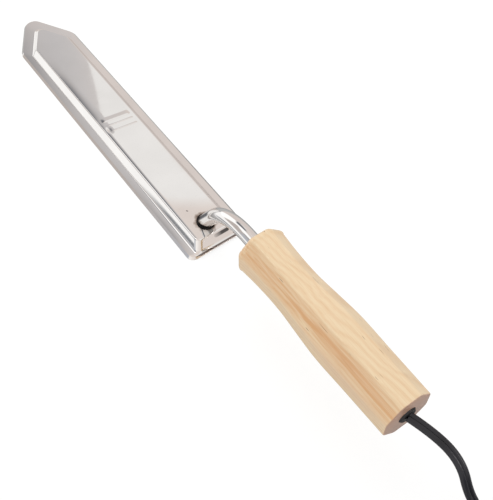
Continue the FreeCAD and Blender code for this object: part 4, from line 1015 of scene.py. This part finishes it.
def makeWorld():
    # Even white light for the object, plain white behind it, and the studio's boards and lamps
    # for what is polished.
    world = bpy.data.worlds.new("studio")
    bpy.context.scene.world = world
    world.use_nodes = True
    coordinates = addNode(world, "TexCoord")
    parts = addNode(world, "SeparateXYZ", {}, {"Vector": coordinates.outputs["Generated"]})
    bearing = addNode(world, "Math", {"operation": "ARCTAN2"},
                      {"0": parts.outputs["Y"], "1": parts.outputs["X"]})

    def above(heights, ends=(0.0, 1.0)):
        # The first end below the first height and the second above the second, in degrees.
        return addNode(world, "MapRange", {"from": np.sin(np.radians(heights)), "to": ends},
                       {"Value": parts.outputs["Z"]})

    # the room's tones round the horizon
    turned = addNode(world, "MapRange", {"from": (-np.pi, np.pi)}, {"Value": bearing})
    room, lowRoom = (
        addNode(world, "ValToRGB", {"stops": [(0.5 + angle / 360, tone) for angle, tone in tones]},
                {"Fac": turned}) for tones in (surroundTones, lowTones))

    # the board's straight edge stands upright; its far side runs along a line on the ceiling
    edge = np.radians(studio["boardEdge"])
    within = addNode(world, "Math", {"operation": "LESS_THAN", "1": edge}, {"0": bearing})
    beyond = addNode(world, "Math", {"operation": "DIVIDE"},
                     {"0": parts.outputs["Y"], "1": parts.outputs["Z"]})
    side = addNode(world, "MapRange", {"from": studio["boardSide"]}, {"Value": beyond})
    onBoard = addNode(world, "Math", {"operation": "MULTIPLY"}, {"0": within, "1": side})
    board = addNode(world, "RGB")
    board.outputs[0].default_value = linear(studio["footColour"])
    for heights, colour in studio["boardLayers"]:
        board = addNode(world, "Mix", {"data_type": "RGBA", "7": colour},
                        {"0": above(heights), "6": board})
    closed = addNode(world, "Mix", {"data_type": "RGBA", "7": studio["ceilingColour"]},
                     {"0": above(studio["ceiling"]), "6": room})
    standing = addNode(world, "Mix", {"data_type": "RGBA"}, {"0": onBoard, "6": closed, "7": board})
    around = addNode(world, "Mix", {"data_type": "RGBA"},
                     {"0": above(studio["horizon"]), "6": lowRoom, "7": standing})

    # each lamp adds to what is there, with blurred edges
    for turn, width, low, high, brightness in lamps:
        off = addNode(world, "Math", {"operation": "SUBTRACT", "1": np.radians(turn)}, {"0": bearing})
        apart = addNode(world, "Math", {"operation": "ABSOLUTE"}, {"0": off})
        beside = addNode(world, "MapRange",
                         {"from": np.radians((width * studio["lampCore"], width)), "to": (1.0, 0.0)},
                         {"Value": apart})
        over = above((low, low + studio["lampBlur"]))
        under = above((high - studio["lampBlur"], high), ends=(1.0, 0.0))
        between = addNode(world, "Math", {"operation": "MULTIPLY"}, {"0": over, "1": under})
        lit = addNode(world, "Math", {"operation": "MULTIPLY"}, {"0": beside, "1": between})
        shine = addNode(world, "VectorMath", {"operation": "SCALE", "0": (brightness,) * 3},
                        {"Scale": lit})
        around = addNode(world, "VectorMath", {"operation": "ADD"}, {"0": around, "1": shine})

    path = addNode(world, "LightPath")
    colour = addNode(world, "Mix", {"data_type": "RGBA", "6": "ffffff"},
                     {"0": path.outputs["Is Glossy Ray"], "7": around})
    direct = addNode(world, "Math", {"operation": "MAXIMUM"},
                     {"0": path.outputs["Is Camera Ray"], "1": path.outputs["Is Transmission Ray"]})
    plain = addNode(world, "MapRange", {"to": (studio["skyLight"], 1.0)}, {"Value": direct})
    strength = addNode(world, "Mix", {"data_type": "FLOAT", "3": studio["metalLight"]},
                       {"0": path.outputs["Is Glossy Ray"], "2": plain})
    background = world.node_tree.nodes["Background"]
    world.node_tree.links.new(colour.outputs[2], background.inputs["Color"])
    world.node_tree.links.new(strength.outputs[0], background.inputs["Strength"])


def makeKeyLight():
    light = bpy.data.lights.new("softbox", "AREA")
    light.energy = studio["keyPower"]
    light.size = studio["keySize"]
    lamp = bpy.data.objects.new("softbox", light)
    bpy.context.scene.collection.objects.link(lamp)
    lamp.location = studio["keyPlace"]
    lamp.visible_glossy = False
    aim = Vector(studio["keyAim"]) - Vector(studio["keyPlace"])
    lamp.rotation_mode = "QUATERNION"
    lamp.rotation_quaternion = aim.to_track_quat("-Z", "Y")


makeFloor()
makeWorld()
makeKeyLight()
bpy.context.scene.view_settings.view_transform = "Standard"
print("studio made")
